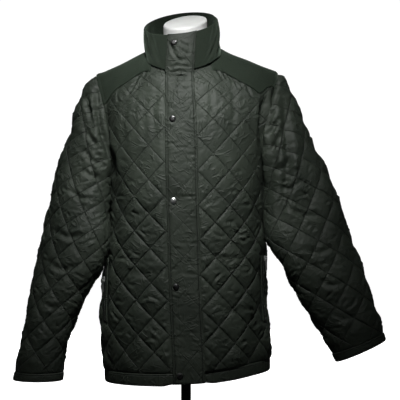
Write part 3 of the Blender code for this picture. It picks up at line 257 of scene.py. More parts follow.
# The sleeves' fullness at their heads and outer sides, in front and behind
FULLNESS = [
    (5.5, 13.0, -196, 846, -220, 818, -234, 776),
    (2.5, 12.0, 212, 838, 232, 806, 248, 756),
    (10.0, 24.0, -216, 806, -236, 750, -258, 690),
    (6.0, 26.0, -258, 690, -286, 620, -306, 550),
    (8.0, 26.0, 296, 650, 316, 590, 336, 520, 352, 460),
]
CREASES_FRONT = [
    # The wearer's right armhole and the sleeve beside it
    (-4.8, 4.2, -203, 790, -200, 770, -200, 748),
    (-6.4, 4.2, -221, 778, -219, 752, -213, 714),
    (3.5, 4.2, -210, 770, -208, 745, -204, 712),
    (-7.2, 4.7, -200, 744, -194, 704, -186, 672),
    (-12.0, 8.0, -193, 705, -180, 662, -165, 628, -163, 585),
    (-4.8, 5.2, -230, 700, -212, 672, -196, 655),
    (-4.8, 5.2, -236, 655, -214, 628, -190, 612),
    (-4.0, 5.2, -240, 610, -214, 590, -190, 584),
    (3.2, 6.3, -220, 640, -200, 610, -184, 570),
    (-4.8, 5.2, -262, 560, -236, 540, -205, 536),
    (-4.0, 6.3, -300, 470, -262, 452, -222, 458),
    (-4.0, 6.3, -310, 400, -276, 380, -240, 392),
    (-3.2, 6.3, -322, 310, -292, 296, -262, 304),
    # The wearer's left armhole and the sleeve beside it
    (-11.0, 7.0, 178, 770, 172, 745, 168, 704, 172, 655),
    (-6.0, 5.0, 172, 640, 174, 600, 178, 570),
    (4.0, 4.5, 187, 790, 184, 750, 182, 700, 188, 650),
    (-8.5, 9.0, 214, 792, 221, 730, 227, 670, 230, 614, 222, 545, 208, 480),
    (-5.0, 4.0, 206, 748, 194, 722, 184, 698),
    (-5.0, 4.0, 212, 722, 200, 698, 188, 676),
    (-5.0, 4.5, 216, 690, 204, 664, 192, 640),
    (-4.8, 6.3, 244, 640, 222, 610, 196, 600),
    (-4.0, 6.3, 262, 580, 234, 560, 206, 566),
    (-4.8, 6.3, 300, 500, 262, 500, 226, 520),
    (-4.0, 6.3, 330, 430, 296, 416, 262, 430),
    (-4.0, 6.3, 352, 350, 322, 344, 296, 360),
    (-3.2, 6.3, 380, 280, 352, 272, 328, 284),
    # Puckers beside the shoulder patches
    (-3.0, 3.0, 66, 832, 76, 818, 84, 802),
    (-3.0, 3.0, 77, 832, 87, 818, 95, 802),
    (-3.3, 3.0, 89, 826, 99, 811, 107, 793),
    (-3.3, 3.0, 102, 816, 111, 801, 119, 782),
    (-3.0, 3.0, 115, 808, 124, 795, 132, 780),
    (-2.7, 3.0, 132, 796, 140, 782, 146, 764),
    (-3.3, 3.0, -94, 826, -112, 796, -132, 764),
    (-2.7, 3.0, -84, 826, -91, 814, -99, 803),
    (-2.7, 3.0, -102, 820, -110, 808, -119, 798),
    (-2.7, 3.0, -146, 790, -152, 770, -150, 748),
    # The flap's part on the collar
    (-3.0, 3.0, -37, 888, -26, 869, -14, 860),
    (-3.3, 3.0, -34, 873, -18, 851, -5, 839),
    (-2.7, 3.0, -14, 889, -2, 879, 8, 876),
    (-2.7, 3.0, -16, 873, 0, 862, 8, 859),
    (-2.4, 3.0, -28, 842, -12, 848, 6, 845),
    (-2.4, 3.0, -36, 830, -16, 834, 10, 829),
    (-2.1, 3.0, -34, 818, -14, 822, 6, 818),
    (-2.1, 3.0, -30, 806, -10, 809, 12, 804),
    (-2.1, 3.0, -38, 794, -20, 797, -2, 793),
    *FULLNESS,
    # The chest, drawn down from the shoulders
    (-1.8, 6.0, 52, 800, 58, 740, 54, 680),
    (1.3, 6.0, 76, 800, 84, 740, 80, 670),
    (-2.0, 6.0, 104, 800, 108, 740, 100, 672),
    (-1.8, 6.0, -62, 790, -70, 730, -66, 660),
    (1.3, 6.0, -96, 780, -104, 720, -98, 650),
    (-2.2, 6.0, -128, 760, -140, 700, -132, 640),
    # Puckers and drag lines lower down
    (-3.2, 3.4, 108, 484, 122, 470, 136, 478),
    (-3.2, 3.4, 104, 470, 118, 458, 134, 464),
    (-3.0, 3.4, 110, 456, 122, 446, 138, 450),
    (-1.8, 7.0, 40, 420, 88, 404, 140, 412),
    (-1.8, 7.0, -60, 520, -100, 500, -150, 506),
    (-1.6, 7.0, -50, 380, -98, 372, -146, 386),
    (-1.6, 8.0, 60, 300, 100, 290, 150, 300),
]
CREASES_BACK = [
    *FULLNESS,
    (-4.0, 9.0, 172, 770, 166, 690, 170, 600),
    (-4.0, 9.0, -172, 770, -166, 690, -170, 600),
    (-2.5, 14.0, 60, 780, 52, 640, 60, 500),
    (-2.5, 14.0, -70, 760, -58, 640, -66, 520),
    (2.5, 16.0, 0, 560, 6, 460, 0, 360),
    (-3.0, 5.0, -212, 760, -206, 710, -198, 660),
    (-3.0, 5.0, -236, 690, -214, 664, -192, 640),
    (-3.0, 6.0, -262, 560, -236, 544, -208, 540),
    (-2.5, 6.0, -300, 470, -262, 458, -226, 466),
    (-2.5, 6.0, -316, 380, -286, 366, -250, 376),
    (-3.0, 5.0, 206, 760, 198, 712, 190, 664),
    (-3.0, 5.0, 232, 690, 212, 664, 192, 636),
    (-3.0, 6.0, 296, 510, 262, 500, 228, 512),
    (-2.5, 6.0, 334, 420, 300, 408, 266, 420),
    (-2.0, 7.0, -40, 320, 20, 306, 90, 318),
    (-2.0, 7.0, 110, 460, 60, 440, 10, 450),
]
# How far the collar's foot reaches down over the fronts, at the neckline's columns
COLLAR_DIP = {1: (0.0, 3.0, 12.0, 27.0, 33.0, 20.0), -1: (0.0, 4.0, 14.0, 28.0, 36.0, 24.0)}
YOKE_ROUNDS = 4  # of smoothing, where the fronts and back turn round the corner at the neck
# Folds of the collar: depth in millimetres, half width and place in degrees from its front towards
# the wearer's left, and how far it slants
COLLAR_FOLDS = [
    (-6.5, 3.2, 60.0, 0.76),
    (2.0, 5.0, 70.0, 0.76),
    (-4.0, 3.0, 80.0, 0.9),
    (-3.0, 3.0, 46.0, 0.5),
    (-4.5, 4.0, 303.0, -0.6),
    (-6.0, 13.0, 94.0, 0.2),
    (-4.0, 4.5, 320.0, -0.5),
    (-1.5, 8.0, 110.0, 0.2),
    (-1.5, 8.0, 180.0, 0.2),
    (-1.8, 8.0, 240.0, -0.3),
]

# Camera: metres, and the width that the photograph's frame takes in at the jacket
CAMERA_X = 0.0322
CAMERA_Z = 0.5356
CAMERA_DISTANCE = 3.0
FRAME_WIDTH = 0.92
SENSOR_WIDTH = 36.0
FLOOR_HALF = 7.0
WORLD_ABOVE = 0.04  # light from straight above, and from below
WORLD_BELOW = 0.02
FLOOR_GLOW = 1.02
KEY_SPREAD = 32.0  # degrees
LIGHTS = [
    ("key", (0.03, -1.05, 1.85), (-0.035, 0, 0.57), 0.45, 2.7),
    ("fill", (0.3, -2.8, 1.1), (0, 0, 0.6), 1.2, 1.2),
    ("back", (0.0, 2.4, 0.75), (0, 0, 0.6), 1.0, 34.0),
]


# ---------------------------------------------------------------- curves and grids of points


def smooth(table, column, where):
    """One column of a table as a smooth curve over its first column."""
    rows = np.array(table, float)
    knots = rows[:, 0]
    values = rows[:, column]
    slopes = np.gradient(values, knots)
    where = np.clip(where, knots[0], knots[-1])
    low = np.clip(np.searchsorted(knots, where, side="right") - 1, 0, len(knots) - 2)
    span = knots[low + 1] - knots[low]
    t = (where - knots[low]) / span
    rise = values[low + 1] - values[low]
    start = span * slopes[low]
    end = span * slopes[low + 1]
    return values[low] + t * (start + t * (3 * rise - 2 * start - end + t * (start + end - 2 * rise)))


def lerp(a, b, share):
    """Point or number that lies a share of the way from a to b."""
    return a + (b - a) * share


def ease(value, low, high):
    """Smooth step from 0 at low to 1 at high."""
    share = np.clip((value - low) / (high - low), 0, 1)
    return share * share * (3 - 2 * share)


def bell(value, power=2):
    """1 where the value is zero, and fading to 0 away from there."""
    return np.exp(-(value**power))


def scatter(a, b, seed):
    """A fixed pseudo-random number from 0 to 1 for a pair of whole numbers."""
    mixed = np.sin(a * 127.1 + b * 311.7 + seed * 74.7) * 43758.5453
    return mixed - np.floor(mixed)


def unit(vector):
    """The vector at length one."""
    vector = np.asarray(vector, float)
    return vector / np.linalg.norm(vector, axis=-1, keepdims=True)


def lengths(points, axis=0):
    """Distance along a row of points, or along one axis of a grid, from the first."""
    run = np.cumsum(np.linalg.norm(np.diff(points, axis=axis), axis=-1), axis=axis)
    return np.concatenate([np.zeros_like(run.take([0], axis)), run], axis=axis)


def sample(points, where, run):
    """Points where a row's own run reaches given values."""
    return np.stack([np.interp(where, run, points[:, k]) for k in range(3)], axis=-1)


def along(points, where):
    """Points at given distances along a row of points."""
    return sample(points, where, lengths(points))


def bezier(p0, p1, p2, p3, shares):
    """Points of a cubic curve at equal shares of its length."""
    t = np.linspace(0, 1, LINE_STEPS)[:, None]
    points = p0 * (1 - t) ** 3 + 3 * p1 * t * (1 - t) ** 2 + 3 * p2 * t**2 * (1 - t) + p3 * t**3
    return along(points, np.asarray(shares) * lengths(points)[-1])


def facing_out(made, outward):
    """The normals of a grid, turned the way that outward points at its middle."""
    middle = made[made.shape[0] // 2, made.shape[1] // 2]
    return made if np.dot(middle, outward) > 0 else -made


def normals(grid, outward):
    """Unit normals of a coarse grid, from its faces."""
    made = np.zeros_like(grid)
    a, b, c, d = grid[:-1, :-1], grid[1:, :-1], grid[1:, 1:], grid[:-1, 1:]
    face = np.cross(c - a, d - b)
    for i, j in ((0, 0), (1, 0), (1, 1), (0, 1)):
        made[i : i + face.shape[0], j : j + face.shape[1]] += face
    return facing_out(unit(made), outward)


def dense_normals(points, outward, closed=False):
    """Unit normals of a dense grid, from its slopes."""
    across = np.gradient(points, axis=0)
    if closed:
        across[0] = across[-1] = (points[1] - points[-2]) / 2
    made = np.cross(across, np.gradient(points, axis=1))
    size = np.linalg.norm(made, axis=-1, keepdims=True)
    return facing_out(made / np.maximum(size, 1e-9), outward)


def lifted(grid, facing, lift):
    """The grid's points moved out to its front, where facing is -1, or to its back."""
    return grid + normals(grid, (0, facing, 0)) * lift


def refine(grid, axis, where, closed=False):
    """A grid resampled along one axis at fractional places, on smooth curves through its points."""
    grid = np.moveaxis(grid, axis, 0)
    last = len(grid) - 1
    before = grid[-2:-1] if closed else 2 * grid[:1] - grid[1:2]
    after = grid[1:2] if closed else 2 * grid[-1:] - grid[-2:-1]
    if closed:
        turn = grid[-1:] - grid[:1]
        before = before - turn
        after = after + turn
    padded = np.concatenate([before, grid, after])
    low = np.clip(where.astype(int), 0, last - 1)
    t = (where - low)[:, None, None]
    p0, p1, p2, p3 = (padded[low + k] for k in range(4))
    rise = (p2 - p0) * t
    bend = (2 * p0 - 5 * p1 + 4 * p2 - p3) * t**2
    twist = (3 * p1 - p0 - 3 * p2 + p3) * t**3
    return np.moveaxis(p1 + 0.5 * (rise + bend + twist), 0, axis)


def dense(grid, across, up, closed=False):
    """A grid resampled along both its axes."""
    return refine(refine(grid, 0, across, closed), 1, up)


def steps(cells, fineness, edges=(0.0, 0.0)):
    """Places along an axis of so many cells, with two more by each edge where a share is given."""
    near = np.array([0.3, 0.75])
    extra = [near * edges[0]] if edges[0] else []
    extra += [cells - near * edges[1]] if edges[1] else []
    return np.unique(np.concatenate([np.arange(cells * fineness + 1) / fineness, *extra]))


def edge_distance(points, *edges):
    """Distance of every point of a grid from the nearest of the edges, or of all four."""
    rows, columns = lengths(points, 1), lengths(points)
    far = {
        "low": rows,
        "high": rows[:, -1:] - rows,
        "first": columns,
        "last": columns[-1:] - columns,
    }
    return np.minimum.reduce([far[edge] for edge in edges or far])


# ---------------------------------------------------------------- the part's surfaces


def outline(z, turn):
    """Body outline at height z, in millimetres: turn 0 is the front, and a right angle the left."""
    sine = np.sin(turn)
    cosine = np.cos(turn)
    half_width = np.where(sine > 0, smooth(BODY, LEFT, z), smooth(BODY, RIGHT, z))
    depth = np.where(cosine > 0, smooth(BODY, FRONT, z), smooth(BODY, BACK, z))
    power = 2 / SQUARENESS
    x = half_width * np.sign(sine) * np.abs(sine) ** power
    y = -depth * np.sign(cosine) * np.abs(cosine) ** power
    return np.stack([x, y, np.full_like(x, z)], axis=-1)


def level_line(z, side, back):
    """Outline from just past the middle to the side, with its distances from the middle."""
    turn = np.radians(np.linspace(-OVERRUN, 90, LINE_STEPS))
    turn = math.pi - turn if back else turn
    points = outline(z, side * turn)
    run = lengths(points)
    return points, run - np.interp(0.0, side * points[:, 0], run)


def opening_at(z, side, back):
    """How far the front opening lies from the middle, towards one side."""
    return 0.0 if back else side * float(smooth(BODY, OPENING, z))


@functools.lru_cache(None)
def panel_arcs(z, side, back):
    """Distances from the middle of every column of a half panel at height z."""
    points, run = level_line(z, side, back)
    edge = float(smooth(ARMHOLE, ARMHOLE_BACK if back else ARMHOLE_FRONT, z))
    depth = points[:, 1] if back else -points[:, 1]
    end = np.interp(-max(edge, SEAM_GAP / 2), -depth, run)
    arcs = np.arange(COLUMNS + 1) * CELL_ACROSS + opening_at(z, side, back)
    arcs[0] += 0.0 if back else SEAM_GAP / 2
    shares = np.arange(1, FITTED_COLUMNS + 1) / FITTED_COLUMNS
    arcs[-FITTED_COLUMNS:] = lerp(arcs[COLUMNS - FITTED_COLUMNS], end, shares)
    return arcs


def panel_level(z, side, back):
    """Points of a half panel's columns at height z."""
    points, run = level_line(z, side, back)
    return sample(points, panel_arcs(z, side, back), run)


def hem_height(side, back, column):
    """Height of the hem's lower edge at a column."""
    turn = 90 * column / COLUMNS
    turn = 180 - turn if back else turn
    return float(smooth(HEM, 1, side * turn))


def hem_point(side, back, column, above=0.0):
    """Point of a half panel's column at a height above the hem's lower edge."""
    return panel_level(hem_height(side, back, column) + above, side, back)[column]


def top_edge(side, back, column):
    """Where a column ends on the neckline or shoulder seam, and its direction away from there."""
    tip = np.array(SHOULDER_TIP[side])
    neck = np.array(SHOULDER_NECK[side])
    facing = 1 if back else -1
    seam = np.array([0.0, facing * SEAM_GAP / 2, 0.0])
    if column >= NECK_COLUMNS:
        share = (column - NECK_COLUMNS) / (COLUMNS - NECK_COLUMNS)
        fan = CORNER_FAN * max(1 - share / FAN_SHARE, 0.0) ** 2
        slope = (tip[2] - neck[2]) / abs(tip[0] - neck[0])
        drop = slope * math.sin(fan) - SHOULDER_WAY_DROP
        way = [side * math.sin(fan), facing * math.cos(fan), drop]
        return lerp(neck, tip, share) + seam, unit(way)
    turn = math.radians(90 * column / NECK_COLUMNS)
    end_y, end_z, steep = NECK_MIDDLE[back]
    opening = 0.0 if back else NECK_OPENING + side * SEAM_GAP / 2
    x = neck[0] * math.sin(turn) + opening * math.cos(turn)
    y = lerp(end_y, neck[1], 1 - math.cos(turn))
    z = lerp(end_z, neck[2], math.sin(turn) ** 2)
    way = lerp(np.array(steep), np.array(NECK_WAY_CORNER), math.sin(turn) ** 2) * (side, facing, 1)
    return np.array([x, y, z]) + seam * math.sin(turn), unit(way)


def half_panel(side, back):
    """Grid of points, columns by rows, from the hem seam up to the neckline and shoulder."""
    hem = [hem_point(side, back, i, HEM_BAND) for i in range(COLUMNS + 1)]
    levels = [FIRST_LEVEL + CELL_ALONG * k for k in range(LEVEL_ROWS)]
    rows = [np.array(hem)] + [panel_level(z, side, back) for z in levels]
    low, chest = rows[-2], rows[-1]
    grid = np.zeros((COLUMNS + 1, len(rows) + CHEST_ROWS + YOKE_ROWS, 3))
    for i in range(COLUMNS + 1):
        end, way = top_edge(side, back, i)
        split = float(smooth(YOKE, PATCH_BACK if back else PATCH_FRONT, i))
        chest_shares = np.linspace(0, split, CHEST_ROWS + 1)[1:]
        yoke_shares = np.linspace(split, 1, YOKE_ROWS + 1)[1:]
        rise = unit(chest[i] - low[i]) * float(smooth(YOKE, RISE, i))
        reach = way * float(smooth(YOKE, REACH, i))
        run = bezier(chest[i], chest[i] + rise, end + reach, end, [*chest_shares, *yoke_shares])
        grid[i] = np.concatenate([[row[i] for row in rows], run])
    return grid


def sleeve_ring(side, height):
    """Dense ring of a sleeve from its outer line towards the front and round, by station number."""
    table = [(k, *row) for k, row in enumerate(SLEEVES[side])]
    x, y, z, half_width, half_depth, tilt, forward = (
        float(smooth(table, column + 1, height)) for column in range(7)
    )
    turn = np.linspace(0, TURN, 4 * LINE_STEPS)[:, None]
    lean = math.radians(tilt)
    out = np.array([side * math.cos(lean), 0.0, math.sin(lean)])
    front = np.array([0.0, -1.0, 0.0])
    level = np.cos(turn) * (half_width * out - forward * front)
    return np.array([side * x, y, z]) + level + np.sin(turn) * half_depth * front


def sleeve_columns(ring):
    """The ring's points at the sleeve's columns: even round the outer side, fitted underneath."""
    total = lengths(ring)[-1]
    arcs = [CELL_ACROSS * i for i in range(SLEEVE_REGULAR + 1)]
    start = arcs[-1]
    rest = SLEEVE_HALF - SLEEVE_REGULAR
    arcs += [lerp(start, total / 2, k / rest) for k in range(1, rest + 1)]
    return along(ring, [*arcs, *(total - arc for arc in arcs[-2:0:-1])])


def sleeve_heights(side):
    """Station numbers of the sleeve's rows, a cell apart along its middle line."""
    table = [(k, *row[:3]) for k, row in enumerate(SLEEVES[side])]
    knots = np.linspace(0, len(table) - 1, LINE_STEPS)
    run = lengths(np.stack([smooth(table, column, knots) for column in (1, 2, 3)], axis=-1))
    return np.interp(np.arange(0, run[-1], CELL_ALONG), run, knots)


def rim_point(turn):
    """Point of the collar's rim: turn 0 is its front, and a right angle its left."""
    pitch = Matrix.Rotation(math.radians(RIM_PITCH), 3, "X")
    roll = Matrix.Rotation(-math.radians(RIM_ROLL), 3, "Y")
    flat = Vector((RIM_HALF_WIDTH * math.sin(turn), -RIM_HALF_DEPTH * math.cos(turn), 0))
    return np.array(RIM_MIDDLE) + np.array(roll @ pitch @ flat)


def neckline(fronts, back, dips=None):
    """The neckline lifted off the panels, from the opening's left side round to its right.

    The dips draw it down over the fronts at both sides.
    """
    lift = WALL + COLLAR_GAP
    edges = {}
    for side, grid in fronts.items():
        columns = lifted(grid, -1, lift)[: NECK_COLUMNS + 1, ::-1]
        drawn = dips[side] if dips else np.zeros(len(columns))
        edges[side] = [along(column, dip) for column, dip in zip(columns, drawn)]
    behind = lifted(back, 1, lift)[COLUMNS - NECK_COLUMNS + 1 : COLUMNS + NECK_COLUMNS, -1]
    return np.concatenate([edges[1], behind[::-1], edges[-1][::-1]])


def collar_grid(loop):
    """The collar's coarse grid from its foot on the neckline up to its rim."""
    run = lengths(loop)[-1]
    columns = []
    for i in range(COLLAR_SIDES + 1):
        share = i / COLLAR_SIDES
        foot = along(loop, share * run)
        rim = rim_point(TURN * share)
        if i in (0, COLLAR_SIDES):
            rim[0] += SEAM_GAP / 2 if i == 0 else -SEAM_GAP / 2
        out = COLLAR_BULGE * unit([rim[0] - RIM_MIDDLE[0], rim[1] - RIM_MIDDLE[1], 0.0])
        shares = np.linspace(0, 1, COLLAR_ROWS + 1)
        columns.append([lerp(foot, rim, s) + out * math.sin(math.pi * s) for s in shares])
    return np.array(columns)


def cross_row(right, left, where):
    """Points across the front opening, at distances from it towards the wearer's left."""
    row = np.concatenate([right[::-1], left])
    run = lengths(row)
    middle = (run[len(right) - 1] + run[len(right)]) / 2
    return along(row, middle + np.asarray(where))


def flap_rows(fronts, collar):
    """Rows of the storm flap's sheet from the hem to the collar's rim, lifted off what it covers."""
    where = np.linspace(-FLAP_HALF_WIDTH, FLAP_HALF_WIDTH, FLAP_COLUMNS + 1)
    hem = [np.array([hem_point(side, False, i) for i in range(FLAP_REACH)]) for side in (-1, 1)]
    rows = [cross_row(*hem, where)]
    for row in [*range(PATCH_ROW + 1), -1]:
        rows.append(cross_row(fronts[-1][:FLAP_REACH, row], fronts[1][:FLAP_REACH, row], where))
    lifts = [BAND_WALL + LAY_GAP] * FLAP_FOOT_ROWS
    lifts += [WALL + LAY_GAP] * (LEVEL_ROWS - FLAP_FOOT_ROWS)
    lifts += [WALL + FLAP_CHEST_GAP] * (len(rows) - len(lifts) - 1)
    lifts += [WALL + COLLAR_GAP + COLLAR_WALL] + [COLLAR_WALL + LAY_GAP] * COLLAR_ROWS
    for row in range(1, COLLAR_ROWS + 1):
        rows.append(cross_row(collar[::-1][:FLAP_REACH, row], collar[:FLAP_REACH, row], where))
    return lifted(np.array(rows).transpose(1, 0, 2), -1, np.array(lifts)[None, :, None])


# ---------------------------------------------------------------- quilting, folds and shells


def pillow(u, v, seed):
    """Height of the quilting from 0 at its stitch lines to 1, with each diamond a little uneven."""
    s, t = (u + v) / 4, (u - v) / 4
    a, b = np.floor(s), np.floor(t)
    s, t = s - a, t - b

    def chance(number, low=0.0, high=1.0):
        return lerp(low, high, scatter(a, b, seed + number))

    dome = (16 * s * (1 - s) * t * (1 - t)) ** PILLOW_POWER
    lean = (s - 0.5) * (chance(1) - 0.3) - (t - 0.5) * (chance(2) - 0.3)
    made = dome * chance(0, 0.72, 1.12) * (1 + 0.7 * lean)
    ripples = 0.0
    for k, (near, run) in enumerate(((s, t), (1 - s, t), (t, s), (1 - t, s))):
        waves = np.sin(TURN * (chance(3 + k, 3, 5) * run + chance(8 + k)))
        reach = np.exp(-near / 0.16) * np.minimum(near / 0.05, 1)
        ripples = ripples + waves * reach * run * (1 - run) * 4
    dents = 0.0
    for k in range(DENTS):
        turn = math.pi / 4 + chance(20 + k, -0.8, 0.8)
        x = (s - chance(30 + k, 0.25, 0.75)) * STITCH_PITCH
        y = (t - chance(40 + k, 0.25, 0.75)) * STITCH_PITCH
        run = x * np.cos(turn) + y * np.sin(turn)
        off = y * np.cos(turn) - x * np.sin(turn) + run * run * chance(50 + k, -0.03, 0.03)
        off = off / chance(60 + k, 2.2, 3.6)
        shape = bell(off) - 0.55 * bell(off - 1.9)
        dents = dents - shape * bell(run / chance(70 + k, 5.0, 15.0)) * chance(80 + k, 0.10, 0.45)
    return np.maximum(made + PUCKER * ripples + dents * dome**0.5, 0.0)


def stillness(points, share=1.0):
    """1 on free cloth, falling to 0 by the hard fittings."""
    made = 1.0
    for spot, reach in STILL:
        made = made * (1 - bell(np.linalg.norm(points - np.array(spot), axis=-1) / (reach * share), 4))
    return made


def drape(points):
    """Soft unevenness of the hanging cloth at points in millimetres."""
    made = np.zeros(points.shape[:-1])
    for size, weight, seed in WAVES:
        for k in range(3):
            way = np.array([scatter(seed, k, axis) - 0.5 for axis in (1, 2, 3)]) * (1, 1, 0.5)
            made += weight * np.sin(points @ (unit(way) * TURN / size) + TURN * scatter(seed, k, 4))
    return made * stillness(points)


def crease(points, table):
    """Listed troughs, below zero, and ridges, above it, along lines of x and z."""
    made = np.zeros(points.shape[:-1])
    flat = points[..., [0, 2]]
    for depth, width, *line in table:
        line = np.array(line, float).reshape(-1, 2)
        nearest = np.full(flat.shape[:-1], 1e9)
        place = np.zeros(flat.shape[:-1])
        run = lengths(line)
        for a, b, start, end in zip(line, line[1:], run, run[1:]):
            way = b - a
            share = np.clip(((flat - a) @ way) / (way @ way), 0, 1)
            far = np.linalg.norm(flat - (a + share[..., None] * way), axis=-1)
            closer = far < nearest
            nearest = np.where(closer, far, nearest)
            place = np.where(closer, start + share * (end - start), place)
        taper = np.sin(math.pi * np.clip(place / run[-1], 0, 1)) ** 0.7
        made += depth * (bell(nearest / width) - 0.35 * bell(nearest / width - 1.9)) * taper
    return made


def folds(points, back):
    """Every broad movement of the cloth at its points; back is the share of the table for behind."""
    front = crease(points, CREASES_FRONT) if np.min(back) < 1 else 0.0
    behind = crease(points, CREASES_BACK) if np.max(back) > 0 else 0.0
    return lerp(front, behind, back) + drape(points)


def rolled(far, thickness, thin, reach):
    """Thickness of a wall that thins by its edges."""
    return thickness * (thin + (1 - thin) * np.sqrt(np.clip(far / reach, 0, 1)))


def shell(name, points, out, broad, lift, lattice, edge, finish, closed=False, weld=None):
    """A closed cloth shell on a dense grid, moved out by its folds, with its outer face lifted off.

    The lattice is the quilting's places, and edge the distances from and along an edge.
    """
    inner = points + out * broad[..., None]
    outer = inner + out * lift[..., None]
    columns, rows = inner.shape[:2]
    total = columns * rows
    spots = np.arange(total).reshape(columns, rows)
    number = spots.copy()
    if closed:
        number[-1] = number[0]
    if weld is not None:
        split, joined = weld
        number[joined, split] = number[joined, split - 1]
    relief = np.linalg.norm(outer - inner, axis=-1).ravel()

    def corners_of(table):
        made = np.stack([table[:-1, :-1], table[1:, :-1], table[1:, 1:], table[:-1, 1:]], axis=-1)
        if weld is not None:
            made = np.delete(made, weld[0] - 1, axis=1)
        return made.reshape(-1, 4)

    quads, quads_uv = corners_of(number), corners_of(spots)
    height = relief[quads_uv]
    pick = abs(height[:, 0] - height[:, 2]) <= abs(height[:, 1] - height[:, 3])

    def halves(table):
        one = np.where(pick[:, None], table[:, [0, 1, 2]], table[:, [0, 1, 3]])
        two = np.where(pick[:, None], table[:, [0, 2, 3]], table[:, [1, 2, 3]])
        return np.concatenate([one, two])

    def sides_of(table):
        return np.concatenate([table[:, [0, 1]], table[:, [1, 2]], table[:, [2, 0]]])

    top, top_uv = halves(quads), halves(quads_uv)
    edges = sides_of(top)
    border = ~np.isin(edges[:, 0] * total + edges[:, 1], edges[:, 1] * total + edges[:, 0])
    rim, rim_uv = edges[border], sides_of(top_uv)[border]
    walls = [rim[:, [1, 0, 0]] + (0, 0, total), rim[:, [1, 0, 1]] + (0, total, total)]
    faces = np.concatenate([top, top[:, ::-1] + total, *walls])
    corners = np.concatenate([top_uv, top_uv[:, ::-1], rim_uv[:, [1, 0, 0]], rim_uv[:, [1, 0, 1]]])
    points = np.concatenate([outer.reshape(-1, 3), inner.reshape(-1, 3)]) * MM
    a, b, c = top[len(top) // 4]
    face = np.cross(points[b] - points[a], points[c] - points[a])
    if np.dot(face, points[a] - points[a + total]) < 0:
        faces, corners = faces[:, ::-1], corners[:, ::-1]
    used = np.unique(faces)
    renumber = np.zeros(2 * total, int)
    renumber[used] = np.arange(len(used))
    maps = {}
    for label, pair, scale in (("quilt", lattice, 4), ("edge", edge, 100)):
        pair = [np.broadcast_to(value, (columns, rows)) for value in pair]
        maps[label] = np.stack(pair, axis=-1).reshape(-1, 2)[corners] / scale
    return mesh_piece(name, points[used], renumber[faces], maps, finish, name.split("_", 1)[1])


def mesh_piece(name, points, faces, maps, finish, node=None):
    """A piece of the scene from triangles, riding on the jacket and standing for its node."""
    mesh = bpy.data.meshes.new(name)
    mesh.vertices.add(len(points))
    mesh.vertices.foreach_set("co", points.astype(np.float32).ravel())
    mesh.loops.add(3 * len(faces))
    mesh.loops.foreach_set("vertex_index", faces.astype(np.int32).ravel())
    mesh.polygons.add(len(faces))
    mesh.polygons.foreach_set("loop_start", np.arange(0, 3 * len(faces), 3, dtype=np.int32))
    mesh.polygons.foreach_set("use_smooth", np.ones(len(faces), bool))
    for label, corners in maps.items():
        layer = mesh.uv_layers.new(name=label)
        layer.data.foreach_set("uv", corners.astype(np.float32).ravel())
    mesh.update(calc_edges=True)
    mesh.validate()
    mesh.materials.append(finish)
    made = bpy.data.objects.new(name, mesh)
    bpy.context.scene.collection.objects.link(made)
    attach(made, "jacket_on_stand")
    if node:
        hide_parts(node)
    return made


# ---------------------------------------------------------------- jacket pieces


def panel_places(side, back, grid):
    """Quilting places of a half panel's points, in cells: across from the opening, and up."""
    made = np.zeros(grid.shape[:2] + (2,))
    for i in range(COLUMNS + 1):
        for row in range(LEVEL_ROWS + 1):
            z = grid[i, row, 2]
            across = panel_arcs(z, side, back)[i] - opening_at(z, side, back)
            made[i, row] = (across / CELL_ACROSS, 1 + (z - FIRST_LEVEL) / CELL_ALONG)
        run = lengths(grid[i, LEVEL_ROWS:])
        top = abs(grid[i, -1, 0] - (0.0 if back else NECK_OPENING)) * 1.05 / CELL_ACROSS
        made[i, LEVEL_ROWS:, 0] = lerp(made[i, LEVEL_ROWS, 0], top, run / run[-1])
        made[i, LEVEL_ROWS:, 1] = LEVEL_ROWS + run / CELL_ALONG
    return made


def soft_half(side, back):
    """A half panel's coarse grid, and its points and places evened out on the yoke."""
    grid = half_panel(side, back)
    made = np.concatenate([grid, panel_places(side, back, grid)], axis=-1)
    column, row = np.arange(made.shape[0])[:, None], np.arange(made.shape[1])[None, :]
    weight = 0.6 * ease(row, LEVEL_ROWS - 1.0, LEVEL_ROWS + 3.0) * (1 - ease(column, 8.0, 12.0))
    for _ in range(YOKE_ROUNDS):
        around = (made[:-2, 1:-1] + made[2:, 1:-1] + made[1:-1, :-2] + made[1:-1, 2:]) / 4
        made[1:-1, 1:-1] = lerp(made[1:-1, 1:-1], around, weight[1:-1, 1:-1, None])
    return grid, made


def climb(column, side):
    """Rows that a patch's lower edge lies above the solids' at a column."""
    return PATCH_CLIMB.get(side, 0.0) * ease(column, 10.5, 14.5)


